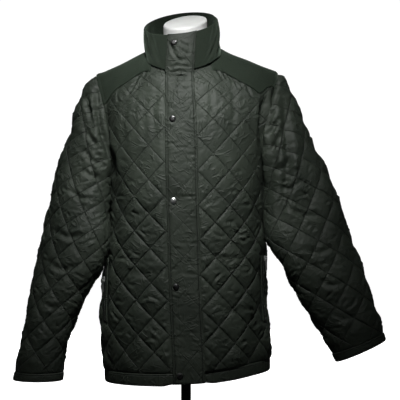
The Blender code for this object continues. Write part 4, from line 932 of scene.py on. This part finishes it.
def finish_panel(name, both, phase, side, seed, first=0.0):
    """A quilted panel from its coarse points and places. Its side is 0 where it is the back."""
    back = side == 0
    across, up = steps(both.shape[0] - 1, FINE), steps(both.shape[1] - 1, FINE)
    table = dense(both, across, up)
    points, u, v = table[..., :3], table[..., 3], table[..., 4] - phase
    points[:, 0] += unit(points[:, 0] - points[:, 1]) * HEM_TUCK
    out = dense_normals(points, (0, 1 if back else -1, 0))
    column = abs(across[:, None] + first)
    far = edge_distance(points)
    squeezed = ease(column, 11.0, 12.5) * ease(up, ARMPIT_ROW - SQUEEZED_ROWS - 1, ARMPIT_ROW - 6)
    puff = ease(far, 0.5, 8.0) * (1 - 0.3 * squeezed)
    puff *= 1 - ease(up - (PATCH_ROW + climb(column, side)), -0.75, -0.1)
    puff *= 0.35 + 0.65 * ease(edge_distance(points, "low"), 0.0, 26.0)
    if not back:
        z = points[..., 2]
        puff *= lerp(1.0, CHEST_PUFF, ease(z, 480.0, 640.0))
        run = lengths(points)
        puff *= ease(run, FLAP_HALF_WIDTH + 1.0, FLAP_HALF_WIDTH + 12.0)
        from_welt = abs(run - POCKET_ARC + WELT_WIDTH / 2)
        beside = 1 - ease(from_welt, WELT_WIDTH + 1, WELT_WIDTH + 12)
        above = ease(z, POCKET_LOW - 14, POCKET_LOW - 2)
        puff *= 1 - beside * above * (1 - ease(z, POCKET_HIGH + 2, POCKET_HIGH + 14))
    seams = ("first", "last") if back else ("last",)
    broad = folds(points, float(back)) * ease(edge_distance(points, *seams), 0.0, SEAM_CALM)
    lift = rolled(far, WALL, QUILTED_RIM, 2.5) + SHOWN_PUFF * pillow(u, v, seed) * puff
    return shell(name, points, out, broad, lift, (u, v), (far, up * CELL_ALONG), QUILTED)


def seam_edge(grid, facing):
    """Armhole edge from the shoulder tip down to the armpit, just clear of the panel's thin rim."""
    return lifted(grid, facing, WALL * QUILTED_RIM + 0.15)[-1, ARMPIT_ROW:][::-1]


def sleeve_grid(side, front, back):
    """A sleeve's coarse points and quilting places, opened under the arm, and its cuff's rings."""
    loops = [sleeve_ring(side, height) for height in sleeve_heights(side)]
    rings = [sleeve_columns(loop) for loop in loops]
    girths = np.array([lengths(loop)[-1] for loop in loops[1:]])
    spare = girths / 2 / CELL_ACROSS - SLEEVE_REGULAR
    edges = {1: seam_edge(front, -1), -1: seam_edge(back, 1)}
    columns = []
    for i in range(-SLEEVE_HALF, SLEEVE_HALF + 1):
        k, facing = abs(i), 1 if i >= 0 else -1
        run = [ring[i % SLEEVE_SIDES] for ring in rings[1:]]
        run[0] = run[0] + unit(run[1] - run[0]) * SEAM_GAP
        share = k / SLEEVE_HALF
        end = along(edges[facing], share * lengths(edges[facing])[-1])
        sine, cosine = math.sin(math.pi * share), math.cos(math.pi * share)
        way = np.array(CAP_WAY) + max(cosine, 0) * np.array(CAP_WAY_TOP)
        way = way + max(-cosine, 0) * np.array(CAP_WAY_UNDER)
        start = run[-1]
        distance = np.linalg.norm(end - start)
        rise = unit(start - run[-2]) * distance * CAP_RISE
        reach = unit(way * (side, -facing * sine, 1)) * min(distance * CAP_REACH, CAP_REACH_MOST)
        cap = bezier(start, start + rise, end + reach, end, np.linspace(0, 1, CAP_ROWS + 1))
        beyond = max(k - SLEEVE_REGULAR, 0) / (SLEEVE_HALF - SLEEVE_REGULAR)
        arcs = np.pad(min(k, SLEEVE_REGULAR) + beyond * spare, (0, CAP_ROWS), mode="edge") * facing
        rows = np.arange(1, len(run) + 1.0)
        rows = np.concatenate([rows, rows[-1] + lengths(cap)[1:] / CELL_ALONG])
        columns.append(np.column_stack([[*run, *cap[1:]], arcs, rows]))
    return np.array(columns), rings[:2]


def make_sleeve(label, side, front, back, seed):
    """A quilted sleeve and its cuff band."""
    both, rings = sleeve_grid(side, front, back)
    across, up = steps(2 * SLEEVE_HALF, FINE), steps(both.shape[1] - 1, FINE)
    points = dense(both[..., :3], across, up, closed=True)
    u, v = np.moveaxis(dense(both[..., 3:], across, up), -1, 0)
    shift, lean, scale = SLEEVE_QUILT[side]
    s, t = (u + v) / 4, (u - v) / 4
    s, t = s + shift + lean * t, t * scale
    u, v = 2 * (s + t), 2 * (s - t)
    out = dense_normals(points, (side, 0, 0), closed=True)
    far = edge_distance(points, "low", "high")
    from_cuff = edge_distance(points, "low")
    column = abs(across[:, None] - SLEEVE_HALF)
    tube = both.shape[1] - CAP_ROWS
    squeezed = ease(column, 8.0, 9.5) * ease(up, tube - SQUEEZED_ROWS + 2, tube - 4)
    puff = ease(far, 0.5, 8.0) * (1 - 0.3 * squeezed) * (0.12 + 0.88 * ease(from_cuff, 2.0, 34.0))
    broad = folds(points, 1 - ease(-out[..., 1], -0.25, 0.25)) * ease(from_cuff, 0.0, 25.0)
    broad *= ease(edge_distance(points, "high"), 0.0, SEAM_CALM)
    broad += CUFF_FLARE * (1 - ease(from_cuff, 0.0, 70.0))
    spot, room = PULL_ROOM[side]
    broad -= room * bell(np.linalg.norm(points - np.array(spot), axis=-1) / PULL_ROOM_REACH)
    lift = rolled(far, WALL, QUILTED_RIM, 2.5) + SHOWN_PUFF * pillow(u, v, seed) * puff
    name, edge = f"quilted_sleeve_{label}", (far, up * CELL_ALONG)
    sleeve = shell(name, points, out, broad, lift, (u, v), edge, QUILTED, closed=True)
    ring = np.stack(rings, axis=1)
    ring = np.concatenate([ring, ring[:1]])
    return sleeve, make_band(f"sewn_cuff_band_{label}", ring, (-side, 0, 0), 4, closed=True)


def make_band(name, grid, outward, fineness, closed=False):
    """A plain narrow band of cloth from two rows of points, softly rolled at both edges."""
    across = steps(len(grid) - 1, fineness)
    up = np.array([0, 0.05, 0.12, 0.2, 0.32, 0.44, 0.56, 0.68, 0.8, 0.88, 0.95, 1.0])
    points = refine(grid, 0, across, closed)
    points = lerp(points[:, :1], points[:, 1:], up[None, :, None])
    out = dense_normals(points, outward, closed)
    points = points + out * (CUFF_FLARE if closed else 0.0)
    far = edge_distance(points, "low", "high")
    run = lengths(points[:, 5])[:, None]
    ripple = 0.35 * np.sin(run * TURN / 13 + 3 * np.sin(run / 41)) * np.sin(math.pi * up)
    lift = rolled(far, BAND_WALL, 0.5, 3.5) + ripple
    lattice = (run / CELL_ACROSS, far / CELL_ACROSS)
    return shell(name, points, out, np.zeros(far.shape), lift, lattice, (far, run), PLAIN, closed)


def make_collar(fronts, back):
    """The stand-up collar."""
    foot = neckline(fronts, back, COLLAR_DIP)
    for _ in range(2):
        foot[1:-1] = (foot[:-2] + 2 * foot[1:-1] + foot[2:]) / 4
    across, up = steps(COLLAR_SIDES, 7), steps(COLLAR_ROWS, 7, (0.0, 0.16))
    points = dense(collar_grid(foot), across, up)
    out = dense_normals(points, (0, 1, 0))
    far = edge_distance(points, "high", "first", "last")
    height = up / COLLAR_ROWS
    turn = across[:, None] / COLLAR_SIDES * TURN
    broad = 0.0
    for depth, width, place, slant in COLLAR_FOLDS:
        off = turn - math.radians(place) - slant * (height - 0.5)
        broad = broad + depth * bell(off / math.radians(width))
    broad = broad * ease(height, 0.0, 0.35) * (1 - 0.7 * ease(height, 0.7, 1.0))
    broad = broad * (1 - bell(np.minimum(turn, TURN - turn) / 0.45, 4))
    lift = rolled(far, COLLAR_WALL, 0.4, 3.5) - 0.35 * bell(far - 6.5)
    edge = (far, lengths(points[:, -1])[:, None])
    return shell("sewn_collar", points, out, broad, lift, (across[:, None], up), edge, BRUSHED)


def make_flap(fronts, collar):
    """The storm flap over the front opening."""
    grid = flap_rows(fronts, collar)
    across, up = steps(FLAP_COLUMNS, 8, (0.12, 0.12)), steps(grid.shape[1] - 1, 7)
    points = dense(grid, across, up)
    level = ease(points[..., 2], 640.0, 800.0)
    points[..., 0] += FLAP_WIDER * (across / FLAP_COLUMNS)[:, None] * (1 - level)
    out = dense_normals(points, (0, -1, 0))
    far = edge_distance(points, "first", "last")
    ends = edge_distance(points, "low", "high")
    u, v = (across - FLAP_COLUMNS / 2)[:, None], up - FLAP_PHASE
    on_body = 1 - ease(up, PATCH_ROW - 1.5, PATCH_ROW + 0.5)
    shown = FLAP_SHOWN * pillow(u, v, 91.0) * on_body * ease(far, 6.0, 13.0) + 0.6
    for k in range(FLAP_WRINKLES):
        place = lerp(155.0, 830.0, (k + scatter(k, 1, 5.0)) / FLAP_WRINKLES)
        centre, slope, width, deep, reach = (
            lerp(*limits, scatter(k, number, 5.0)) for number, limits in enumerate(WRINKLE_RANGES, 2)
        )
        off = (points[..., 2] - place - slope * (u - centre)) / width
        shown = shown + deep * (bell(off) - 0.6 * bell(off - 1.8)) * bell((u - centre) / reach)
    lift = rolled(np.minimum(far, ends), FLAP_WALL, 0.45, 2.5)
    lift += shown * stillness(points, 0.55) * ease(far, 1.0, 6.0)
    lift = np.maximum(lift - 0.5 * bell((far - FLAP_LINE) / 1.4) * on_body, 0.8)
    broad, edge = folds(points, 0.0), (far, up * CELL_ALONG)
    return shell("sewn_storm_flap", points, out, broad, lift, (u, v), edge, FLAP_CLOTH_SHADED)


def make_patch(label, side, front, back):
    """A plain shoulder patch in one sheet from the front over the shoulder seam to the back."""
    first = PATCH_FIRST_COLUMN
    neck_end = NECK_COLUMNS - first
    parts = []
    for grid, facing in ((front, -1), (back, 1)):
        part = lifted(grid, facing, WALL + PATCH_SHOWN_LIFT)[first:, PATCH_ROW:]
        part[-1] += unit(part[-2] - part[-1]) * SHOWN_SLEEVE_INSET
        neck, below = part[:neck_end, -1], part[:neck_end, -2]
        neck += unit(below - neck) * SHOWN_INSET
        part[neck_end, -1] += unit(part[neck_end + 1, -1] - part[neck_end, -1]) * SHOWN_INSET
        parts.append(part)
    rows = np.arange(YOKE_ROWS + 1.0)
    for k, column in enumerate(parts[0]):
        low = float(climb(first + k, side))
        parts[0][k] = refine(column[None], 1, low + rows * (1 - low / YOKE_ROWS))[0]
    seam = (parts[0][neck_end:, -1] + parts[1][neck_end:, -1]) / 2 + np.array([0.0, 0.0, LAY_GAP])
    for part in parts:
        part[neck_end:, -1] = seam
    across = steps(COLUMNS - first, FINE, (0.0, 0.1))[1:]
    up = steps(YOKE_ROWS, FINE, (0.12, 0.0))
    sheets = [dense(part, across, up) for part in parts]
    outs = [dense_normals(sheet, (0, facing, 0.5)) for sheet, facing in zip(sheets, (-1, 1))]
    join = across >= neck_end - 1e-6
    for one, other in (sheets, outs):
        one[join, -1] = other[join, -1] = (one[join, -1] + other[join, -1]) / 2

    def over(pair):
        return np.concatenate([pair[0], pair[1][:, ::-1]], axis=1)

    points, out, split = over(sheets), unit(over(outs)), len(up)
    open_end = over([edge_distance(sheet, "high") for sheet in sheets])
    far = edge_distance(points)
    far = np.where(join[:, None], far, np.minimum(far, open_end))
    broad = folds(points, (np.arange(2 * split) >= split) * 1.0)
    broad[:, split - 1] = broad[:, split] = (broad[:, split - 1] + broad[:, split]) / 2
    broad *= ease(edge_distance(points, "last"), 0.0, SEAM_CALM)
    soft = np.sin(points[..., 0] / 19 + 2 * np.sin(points[..., 2] / 31)) * ease(far, 4.0, 20.0)
    lift = rolled(far, PATCH_WALL, 0.4, 2.0) + 0.3 * soft
    run = lengths(points[:, 0])[:, None]
    name, lattice = f"sewn_shoulder_patch_{label}", (run / CELL_ACROSS, far / CELL_ACROSS)
    return shell(name, points, out, broad, lift, lattice, (far, run), BRUSHED, weld=(split, join))


def hem_grid():
    """Two rows of points round the hem band."""
    columns = []
    for side, back, order in (
        (1, False, range(COLUMNS + 1)),
        (1, True, range(COLUMNS - 1, 0, -1)),
        (-1, True, range(COLUMNS)),
        (-1, False, range(COLUMNS, -1, -1)),
    ):
        for i in order:
            drop = HEM_DROP if back or i > COVERED_COLUMNS else 0.0
            high = HEM_BAND - SEAM_GAP
            columns.append([hem_point(side, back, i, -drop), hem_point(side, back, i, high)])
    return np.array(columns)


def make_strip(name, grid, low_arc, high_arc, thickness, finish, side):
    """A straight strip on a front panel, with its points and normals, between two distances."""
    rows = [
        row
        for row in range(1, LEVEL_ROWS)
        if POCKET_LOW < FIRST_LEVEL + CELL_ALONG * row < POCKET_HIGH + 2 * CELL_ALONG
    ]
    base = lifted(grid, -1, WALL + LAY_GAP)
    arcs = np.linspace(low_arc, high_arc, STRIP_COLUMNS)
    made = np.stack([sample(base[:, row], arcs, lengths(grid[:, row])) for row in rows], axis=1)
    made[..., 2] = np.clip(made[..., 2], POCKET_LOW, POCKET_HIGH)
    points = refine(made, 1, steps(len(rows) - 1, 5, (0.06, 0.06)))
    z = points[..., 2] = np.clip(points[..., 2], POCKET_LOW, POCKET_HIGH)
    out = dense_normals(points, (side, -1, 0))
    far = edge_distance(points)
    broad, lift = drape(points), rolled(far, thickness, 0.5, 2.0)
    lattice = (far / CELL_ACROSS, z / CELL_ACROSS)
    piece = shell(name, points, out, broad, lift, lattice, (far, z), finish)
    return piece, points + out * broad[..., None], out


def make_teeth(name, points, out, slider):
    """The closed zip's two rows of teeth along the middle of its tape, clear of the slider."""
    middle = len(points) // 2
    run = lengths(points[middle])
    low, high = (value[2] / MM for value in slider)
    made, faces = [], []
    for k in range(int(run[-1] / TOOTH_PITCH)):
        place = (k + 0.5) * TOOTH_PITCH
        spot = along(points[middle], place)
        if low - 2 < spot[2] < high + 2 or not 3 < place < run[-1] - 3:
            continue
        up = unit(along(points[middle], place + 1) - along(points[middle], place - 1))
        face = out[middle, np.searchsorted(run, place)]
        across = unit(np.cross(up, face))
        centre = spot + across * TOOTH_SHIFT * (1 if k % 2 else -1)
        start = len(made)
        for rise, narrow in TOOTH_RINGS:
            for x, y in ((-1, -1), (1, -1), (1, 1), (-1, 1)):
                flat = across * x * TOOTH_HALF * narrow + up * y * TOOTH_PITCH * 0.42 * narrow
                made.append(centre + flat + face * rise)
        tooth = []
        for a, b in ((0, 1), (1, 2), (2, 3), (3, 0), (4, 5), (5, 6), (6, 7), (7, 4)):
            tooth += [(a, b, 4 + b), (a, 4 + b, 4 + a)]
        tooth += [(8, 9, 10), (8, 10, 11), (2, 1, 0), (3, 2, 0)]
        faces.append(np.array(tooth) + start)
    return mesh_piece(name, np.array(made) * MM, np.concatenate(faces), {}, TEETH)


# ---------------------------------------------------------------- materials


class Tree:
    """The nodes of a material or world, made by short calls."""

    def __init__(self, owner, shader="Principled BSDF"):
        owner.use_nodes = True
        self.owner = owner
        self.tree = owner.node_tree
        self.shader = self.tree.nodes[shader]

    def put(self, socket, value):
        """Links an input to another node's output, or sets it."""
        if isinstance(value, bpy.types.NodeSocket):
            self.tree.links.new(value, socket)
        else:
            socket.default_value = (*value, 1.0) if socket.type == "RGBA" else value

    def add(self, kind, settings, inputs):
        """A node with its settings and its inputs, by name or number."""
        made = self.tree.nodes.new("ShaderNode" + kind)
        for key, value in settings.items():
            setattr(made, key, value)
        for key, value in inputs.items():
            self.put(made.inputs[key], value)
        return made

    def set(self, **values):
        """Links or sets the shader's inputs."""
        for key, value in values.items():
            self.put(self.shader.inputs[key.replace("_", " ")], value)
        return self.owner

    def maths(self, operation, a, b=0.0):
        """Output of a Math node."""
        return self.add("Math", {"operation": operation}, {0: a, 1: b, 2: 0.0}).outputs[0]

    def plus(self, a, b):
        """The sum of two values."""
        return self.maths("ADD", a, b)

    def minus(self, a, b):
        """The difference of two values."""
        return self.maths("SUBTRACT", a, b)

    def times(self, a, b):
        """The product of two values."""
        return self.maths("MULTIPLY", a, b)

    def size(self, value):
        """A value without its sign."""
        return self.maths("ABSOLUTE", value)

    def from_line(self, value):
        """Distance of a value from the nearest whole number, from -0.5 to 0.5."""
        return self.minus(self.maths("FRACT", self.plus(value, 0.5)), 0.5)

    def span(self, value, low, high, to_low=0.0, to_high=1.0):
        """Output of a smooth Map Range node."""
        inputs = {"Value": value, 1: low, 2: high, 3: to_low, 4: to_high}
        return self.add("MapRange", {"interpolation_type": "SMOOTHSTEP"}, inputs).outputs[0]

    def fade(self, value, low, high, to_high=0.0):
        """A smooth fall from 1 at low."""
        return self.span(value, low, high, 1.0, to_high)

    def noise(self, where, scale, detail=2.0, rough=0.5, warp=0.0):
        """Output of a Noise node."""
        inputs = {"Vector": where, "Scale": scale, "Detail": detail}
        inputs.update({"Roughness": rough, "Distortion": warp})
        return self.add("TexNoise", {}, inputs).outputs["Fac"]

    def place(self, kind="Object"):
        """The object's own coordinates, in metres."""
        return self.add("TexCoord", {}, {}).outputs[kind]

    def join(self, *parts):
        """Coordinates from three numbers."""
        return self.add("CombineXYZ", {}, dict(enumerate(parts))).outputs[0]

    def parts(self, where):
        """The three numbers of coordinates."""
        return self.add("SeparateXYZ", {}, {0: where}).outputs[:3]

    def map(self, label):
        """The two numbers of a UV map."""
        return self.parts(self.add("UVMap", {"uv_map": label}, {}).outputs[0])[:2]

    def stretch(self, where, scale):
        """Coordinates scaled along each axis."""
        inputs = {0: where, 1: scale}
        return self.add("VectorMath", {"operation": "MULTIPLY"}, inputs).outputs[0]

    def blend(self, share, a, b):
        """A colour between two, by a share."""
        inputs = {"Factor": share, 6: a, 7: b}
        return self.add("Mix", {"data_type": "RGBA"}, inputs).outputs[2]

    def bump(self, height, distance, strength=1.0, after=None):
        """A bump's normal, in metres of height."""
        inputs = {"Height": height, "Distance": distance, "Strength": strength}
        if after is not None:
            inputs["Normal"] = after
        return self.add("Bump", {}, inputs).outputs[0]


def tinted(colour, share):
    """A colour made darker or lighter by a share."""
    return tuple(min(share * c, 1.0) for c in colour)


def stitch_row(tree, distance, run):
    """A sewn line where distance is zero, in millimetres: how deep it pulls in, which also sets the
    painted shade along it, and its thread.
    """
    off = tree.size(distance)
    groove = tree.fade(off, STITCH_HALF * 0.2, STITCH_HALF * 1.8)
    beat = tree.maths("FRACT", tree.maths("DIVIDE", run, STITCH_LENGTH))
    hump = tree.times(tree.span(beat, 0.08, 0.35), tree.fade(beat, 0.7, 0.95))
    return groove, tree.times(tree.fade(off, 0.25, 0.55), hump)


def puckers(tree, s, t):
    """Short wrinkles that run across the quilting's sewn lines and fade away from them."""
    made = []
    for one, other, seed in ((s, t, 3.0), (t, s, 10.0)):
        near = tree.fade(tree.size(tree.from_line(one)), 0.02, 0.40, 0.12)
        slow = tree.times(one, STITCH_PITCH / PUCKER_REACH)
        fast = tree.times(other, STITCH_PITCH / PUCKER_PITCH)
        where = tree.join(slow, fast, seed)
        made.append(tree.times(tree.noise(where, 1.0, 1.5, 0.5, 0.3), near))
    return tree.plus(*made)


def drag(tree, u, v, turn, seed):
    """Straight wrinkles that run one way in loose patches, from 0 to 1."""
    cosine, sine = math.cos(turn), math.sin(turn)
    run = tree.plus(tree.times(u, cosine), tree.times(v, sine))
    off = tree.minus(tree.times(v, cosine), tree.times(u, sine))
    where = tree.join(tree.times(run, 1.8), tree.times(off, 6.0), seed)
    waves = tree.noise(where, 1.0, 1.0, 0.35, 0.4)
    crest = tree.fade(tree.size(tree.minus(waves, 0.5)), 0.0, 0.07)
    patch = tree.noise(tree.join(u, v, seed + 9.0), 2.6, 1.0, 0.5)
    return tree.times(crest, tree.span(patch, 0.50, 0.64))


def sewing(tree, rows, where):
    """The deepest groove and the thread of several sewn lines, fainter high on the chest; the groove
    also sets the painted shade in the colour.
    """
    x, _, z = tree.parts(where)
    chest = tree.fade(tree.size(x), 0.16, 0.19)
    sunk = tree.minus(1.0, tree.times(chest, tree.span(z, 0.48, 0.66, 0.0, 0.42)))
    found = None
    for distance, path, weight in rows:
        groove, thread = stitch_row(tree, distance, path)
        row = (tree.times(tree.times(groove, sunk), weight), tree.times(thread, weight))
        found = row if found is None else [tree.maths("MAXIMUM", *pair) for pair in zip(found, row)]
    return found


def cloth_material(name, dark, light, roughness, quilt=0.0, lines=(), nap=False):
    """Woven cloth: quilting stitches, sewn lines by its edges, weave, wrinkles and tone, with painted
    shade darkening the colour in the sewn grooves.
    """
    tree = Tree(bpy.data.materials.new(name))
    u, v = tree.map("quilt")
    edge, along_edge = tree.map("edge")
    where = tree.place()
    far, run = tree.times(edge, 100.0), tree.times(along_edge, 100.0)
    rows = [(tree.minus(far, line), run, 1.0) for line in lines]
    s, t = tree.plus(u, v), tree.minus(u, v)
    for one, other in ((s, t), (t, s)) if quilt else ():
        distance = tree.times(tree.from_line(one), STITCH_PITCH)
        rows.append((distance, tree.times(other, STITCH_PITCH), quilt))
    tone = tree.noise(where, 9.0, 3.0, 0.6)
    fleck = tree.noise(where, 520.0, 2.0, 0.7)
    colour = tree.blend(tree.span(tone, 0.3, 0.7), dark, light)
    share = tree.times(tree.span(fleck, 0.35, 0.75), 0.3 if nap else 0.1)
    colour = tree.blend(share, colour, tinted(light, 1.9))
    if rows:
        groove, thread = sewing(tree, rows, where)
        # Painted shade: the colour darkens in the sewn grooves, where shadow falls
        colour = tree.blend(tree.times(groove, 0.8), colour, tinted(dark, 0.2))
        colour = tree.blend(tree.times(thread, 0.35), colour, tinted(light, 1.3))
    normal = None
    for turn, seed in DRAG_WAYS:
        wrinkles = drag(tree, u, v, math.radians(turn), seed)
        normal = tree.bump(wrinkles, DRAG_HEIGHT, 0.3 if nap else 1.0, normal)
    if quilt:
        normal = tree.bump(puckers(tree, s, t), PUCKER_HEIGHT, 1.0, normal)
    fine = tree.noise(tree.stretch(where, (1.0, 1.0, 1.6)), 150.0, 2.0, 0.5)
    normal = tree.bump(fine, 0.0003, 0.6, normal)
    weave = {"Vector": where, "Scale": 700.0, "Distortion": 0.6}
    weave = tree.add("TexWave", {"bands_direction": "DIAGONAL"}, weave).outputs["Fac"]
    normal = tree.bump(weave, 0.00004, 0.4, normal)
    if nap:
        normal = tree.bump(fleck, 0.0003, 0.8, normal)
    if rows:
        normal = tree.bump(tree.minus(tree.times(thread, 0.45), groove), 0.0013, 1.0, normal)
    wear = tree.plus(tree.times(fine, 0.2), roughness - 0.1)
    tree.set(Base_Color=colour, Roughness=wear, Normal=normal, Sheen_Roughness=0.5)
    if nap:
        tree.set(Sheen_Weight=0.15, Sheen_Tint=(0.55, 0.72, 0.56), Specular_IOR_Level=0.15)
    else:
        tree.set(Sheen_Weight=0.0, Sheen_Tint=(0.7, 0.82, 0.68), Specular_IOR_Level=0.2)
    return tree.owner


def metal_material(name, colour, rough, scale, bright=1.6):
    """Cast or plated metal with a worn, faintly mottled finish."""
    tree = Tree(bpy.data.materials.new(name))
    where = tree.place()
    mottle = tree.noise(where, scale, 3.0, 0.6)
    fine = tree.noise(where, scale * 9, 2.0, 0.5)
    tint = tree.blend(tree.span(mottle, 0.35, 0.7), colour, tinted(colour, bright))
    wear = tree.plus(tree.times(mottle, 0.2), rough - 0.1)
    normal = tree.bump(fine, 0.00008, 0.6)
    return tree.set(Base_Color=tint, Roughness=wear, Normal=normal, Metallic=1.0)


def plastic_material(name, colour, rough):
    """Moulded white plastic with faint orange peel and handling marks."""
    tree = Tree(bpy.data.materials.new(name))
    where = tree.place()
    peel = tree.noise(where, 260.0, 2.0, 0.5)
    marks = tree.noise(tree.stretch(where, (1.0, 1.0, 0.4)), 14.0, 4.0, 0.6)
    tint = tree.blend(tree.span(marks, 0.45, 0.8), colour, tinted(colour, 0.86))
    wear = tree.plus(tree.times(marks, 0.25), rough - 0.12)
    return tree.set(Base_Color=tint, Roughness=wear, Normal=tree.bump(peel, 0.00012, 0.7))


def finish_nodes():
    """Procedural materials for the CAD nodes that stay in sight."""
    metal = metal_material("snap metal", (0.055, 0.055, 0.055), 0.28, 90.0, 2.2)
    bright = metal_material("snap metal painted lit", (0.42, 0.43, 0.42), 0.30, 90.0)
    zip_metal = metal_material("slider metal", (0.50, 0.51, 0.50), 0.36, 120.0)
    table = {f"snap_{number}": metal for number in (1, 2, 4, 5)}
    # snap_3 takes a lighter copy of the snap metal: a painted highlight for the glint on it, as all
    # the snaps are one metal
    table["snap_3"] = bright
    for label in LABELS.values():
        table[f"zip_slider_{label}"] = table[f"zip_pull_{label}"] = zip_metal
    table["dress_form"] = plastic_material("form plastic", (0.45, 0.455, 0.445), 0.45)
    stand = metal_material("stand metal", (0.012, 0.012, 0.013), 0.38, 30.0, 2.5)
    table["stand_pole"] = table["stand_base"] = stand
    for node, made in table.items():
        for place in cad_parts[node].material_slots:
            place.material = made


# ---------------------------------------------------------------- studio


def area_light(name, where, aim, size, power):
    """A round soft light at a place, turned towards another."""
    data = bpy.data.lights.new(name, "AREA")
    data.shape = "DISK"
    data.size = size
    data.energy = power
    made = bpy.data.objects.new(name, data)
    made.location = where
    made.visible_camera = False
    made.rotation_euler = (Vector(aim) - Vector(where)).to_track_quat("-Z", "Y").to_euler()
    bpy.context.scene.collection.objects.link(made)


def make_floor():
    """Pale floor that glows as white as the surroundings, and throws no light on the jacket."""
    mesh = bpy.data.meshes.new("floor")
    corners = [(x * FLOOR_HALF, y * FLOOR_HALF, 0) for x, y in ((-1, -1), (1, -1), (1, 1), (-1, 1))]
    mesh.from_pydata(corners, [], [(0, 1, 2, 3)])
    floor = bpy.data.objects.new("floor", mesh)
    floor.location = (0, 0, -0.0005)
    floor.visible_diffuse = floor.visible_glossy = False
    bpy.context.scene.collection.objects.link(floor)
    tree = Tree(bpy.data.materials.new("pale floor"))
    tint = tree.blend(tree.noise(tree.place(), 3.0), (0.93, 0.93, 0.93), (0.96, 0.96, 0.96))
    tree.set(Base_Color=tint, Roughness=0.9, Specular_IOR_Level=0.1)
    tree.set(Emission_Color=(1.0, 1.0, 1.0), Emission_Strength=FLOOR_GLOW)
    mesh.materials.append(tree.owner)


def make_world():
    """Surroundings that look white but give little light, a little more from above."""
    world = bpy.context.scene.world = bpy.data.worlds.new("studio")
    sky = Tree(world, "Background")
    height = sky.parts(sky.place("Generated"))[2]
    inputs = {"Value": height, 1: -0.7, 2: 0.9, 3: WORLD_BELOW, 4: WORLD_ABOVE}
    shade = sky.add("MapRange", {}, inputs).outputs[0]
    seen = sky.add("LightPath", {}, {}).outputs["Is Camera Ray"]
    pick = sky.add("Mix", {}, {"Factor": seen, 2: shade, 3: 1.05}).outputs[0]
    sky.set(Color=(1.0, 1.0, 1.0), Strength=pick)


def build_studio():
    """Floor, surroundings, soft lights and the camera at the photograph's angle."""
    make_floor()
    make_world()
    scene = bpy.context.scene
    scene.view_settings.view_transform = "Standard"
    for light in LIGHTS:
        area_light(*light)
    bpy.data.lights["key"].spread = math.radians(KEY_SPREAD)
    bpy.data.objects["back"].visible_glossy = False
    scene.camera = camera = bpy.data.objects.new("camera", bpy.data.cameras.new("camera"))
    camera.data.sensor_width = SENSOR_WIDTH
    camera.data.lens = SENSOR_WIDTH * CAMERA_DISTANCE / FRAME_WIDTH
    camera.location = (CAMERA_X, -CAMERA_DISTANCE, CAMERA_Z)
    camera.rotation_euler = (math.pi / 2, 0, 0)
    scene.collection.objects.link(camera)


# ---------------------------------------------------------------- the whole scene


def build_scene():
    """Every piece of the jacket, from the same points as the solids."""
    fronts, soft_fronts, backs, soft_backs = {}, {}, {}, {}
    for side in LABELS:
        fronts[side], soft_fronts[side] = soft_half(side, False)
        backs[side], soft_backs[side] = soft_half(side, True)
    right_back = soft_backs[-1][:0:-1].copy()
    right_back[..., 3] *= -1
    back = np.concatenate([right_back, soft_backs[1]])
    for side, label in LABELS.items():
        name = f"quilted_front_{label}"
        piece = finish_panel(name, soft_fronts[side], FRONT_PHASE[side], side, 10.0 + side)
    piece = finish_panel("quilted_back", back, BACK_PHASE, 0, 31.0, -COLUMNS)
    for side, label in LABELS.items():
        sleeve, cuff = make_sleeve(label, side, fronts[side], backs[side], 51.0 + side)
        patch = make_patch(label, side, soft_fronts[side][..., :3], soft_backs[side][..., :3])
    back = back[..., :3]
    make_collar(fronts, back)
    band = make_band("sewn_hem_band", hem_grid(), (0, 1, 0), 6)
    flap = make_flap(fronts, collar_grid(neckline(fronts, back)))
    low, high = POCKET_ARC - ZIP_WIDTH / 2, POCKET_ARC + ZIP_WIDTH / 2
    edge = low - SEAM_GAP
    for side, label in LABELS.items():
        name, grid = f"sewn_pocket_zip_{label}", fronts[side]
        _, points, out = make_strip(name, grid, low, high, TAPE_WALL, TAPE, side)
        make_teeth(f"zip_teeth_{label}", points, out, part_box(f"zip_slider_{label}"))
        name = f"sewn_pocket_welt_{label}"
        welt, _, _ = make_strip(name, grid, edge - WELT_WIDTH, edge, WALL, PLAIN, side)


NYLON = ((0.0118, 0.0157, 0.0113), (0.0200, 0.0255, 0.0187))  # dark and light
# The flap's nylon is the same cloth painted about a tenth darker: painted shade against the extra
# light its upturned face catches
FLAP_NYLON_SHADED = ((0.0106, 0.0141, 0.0101), (0.0178, 0.0228, 0.0166))
BRUSHED_GREEN = ((0.0046, 0.0080, 0.0044), (0.0069, 0.0107, 0.0066))
TAPE_GREEN = ((0.010, 0.012, 0.010), (0.016, 0.018, 0.016))
QUILTED = cloth_material("quilted nylon", *NYLON, 0.62, quilt=1.0)
PLAIN = cloth_material("plain nylon", *NYLON, 0.62, lines=(4.0,))
FLAP_CLOTH_SHADED = cloth_material("flap nylon painted darker", *FLAP_NYLON_SHADED, 0.64, quilt=0.35, lines=(FLAP_LINE,))
BRUSHED = cloth_material("brushed cloth", *BRUSHED_GREEN, 0.85, nap=True)
TAPE = cloth_material("zip tape", *TAPE_GREEN, 0.7)
TEETH = metal_material("zip teeth", (0.05, 0.052, 0.05), 0.42, 300.0, 2.4)

# Middles of the hard fittings in millimetres, with their reach
STILL = []
for node, reach in FITTINGS.items():
    low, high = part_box(node)
    STILL.append(((Vector(low) + Vector(high)) / 2 / MM, reach))

build_studio()
build_scene()
finish_nodes()
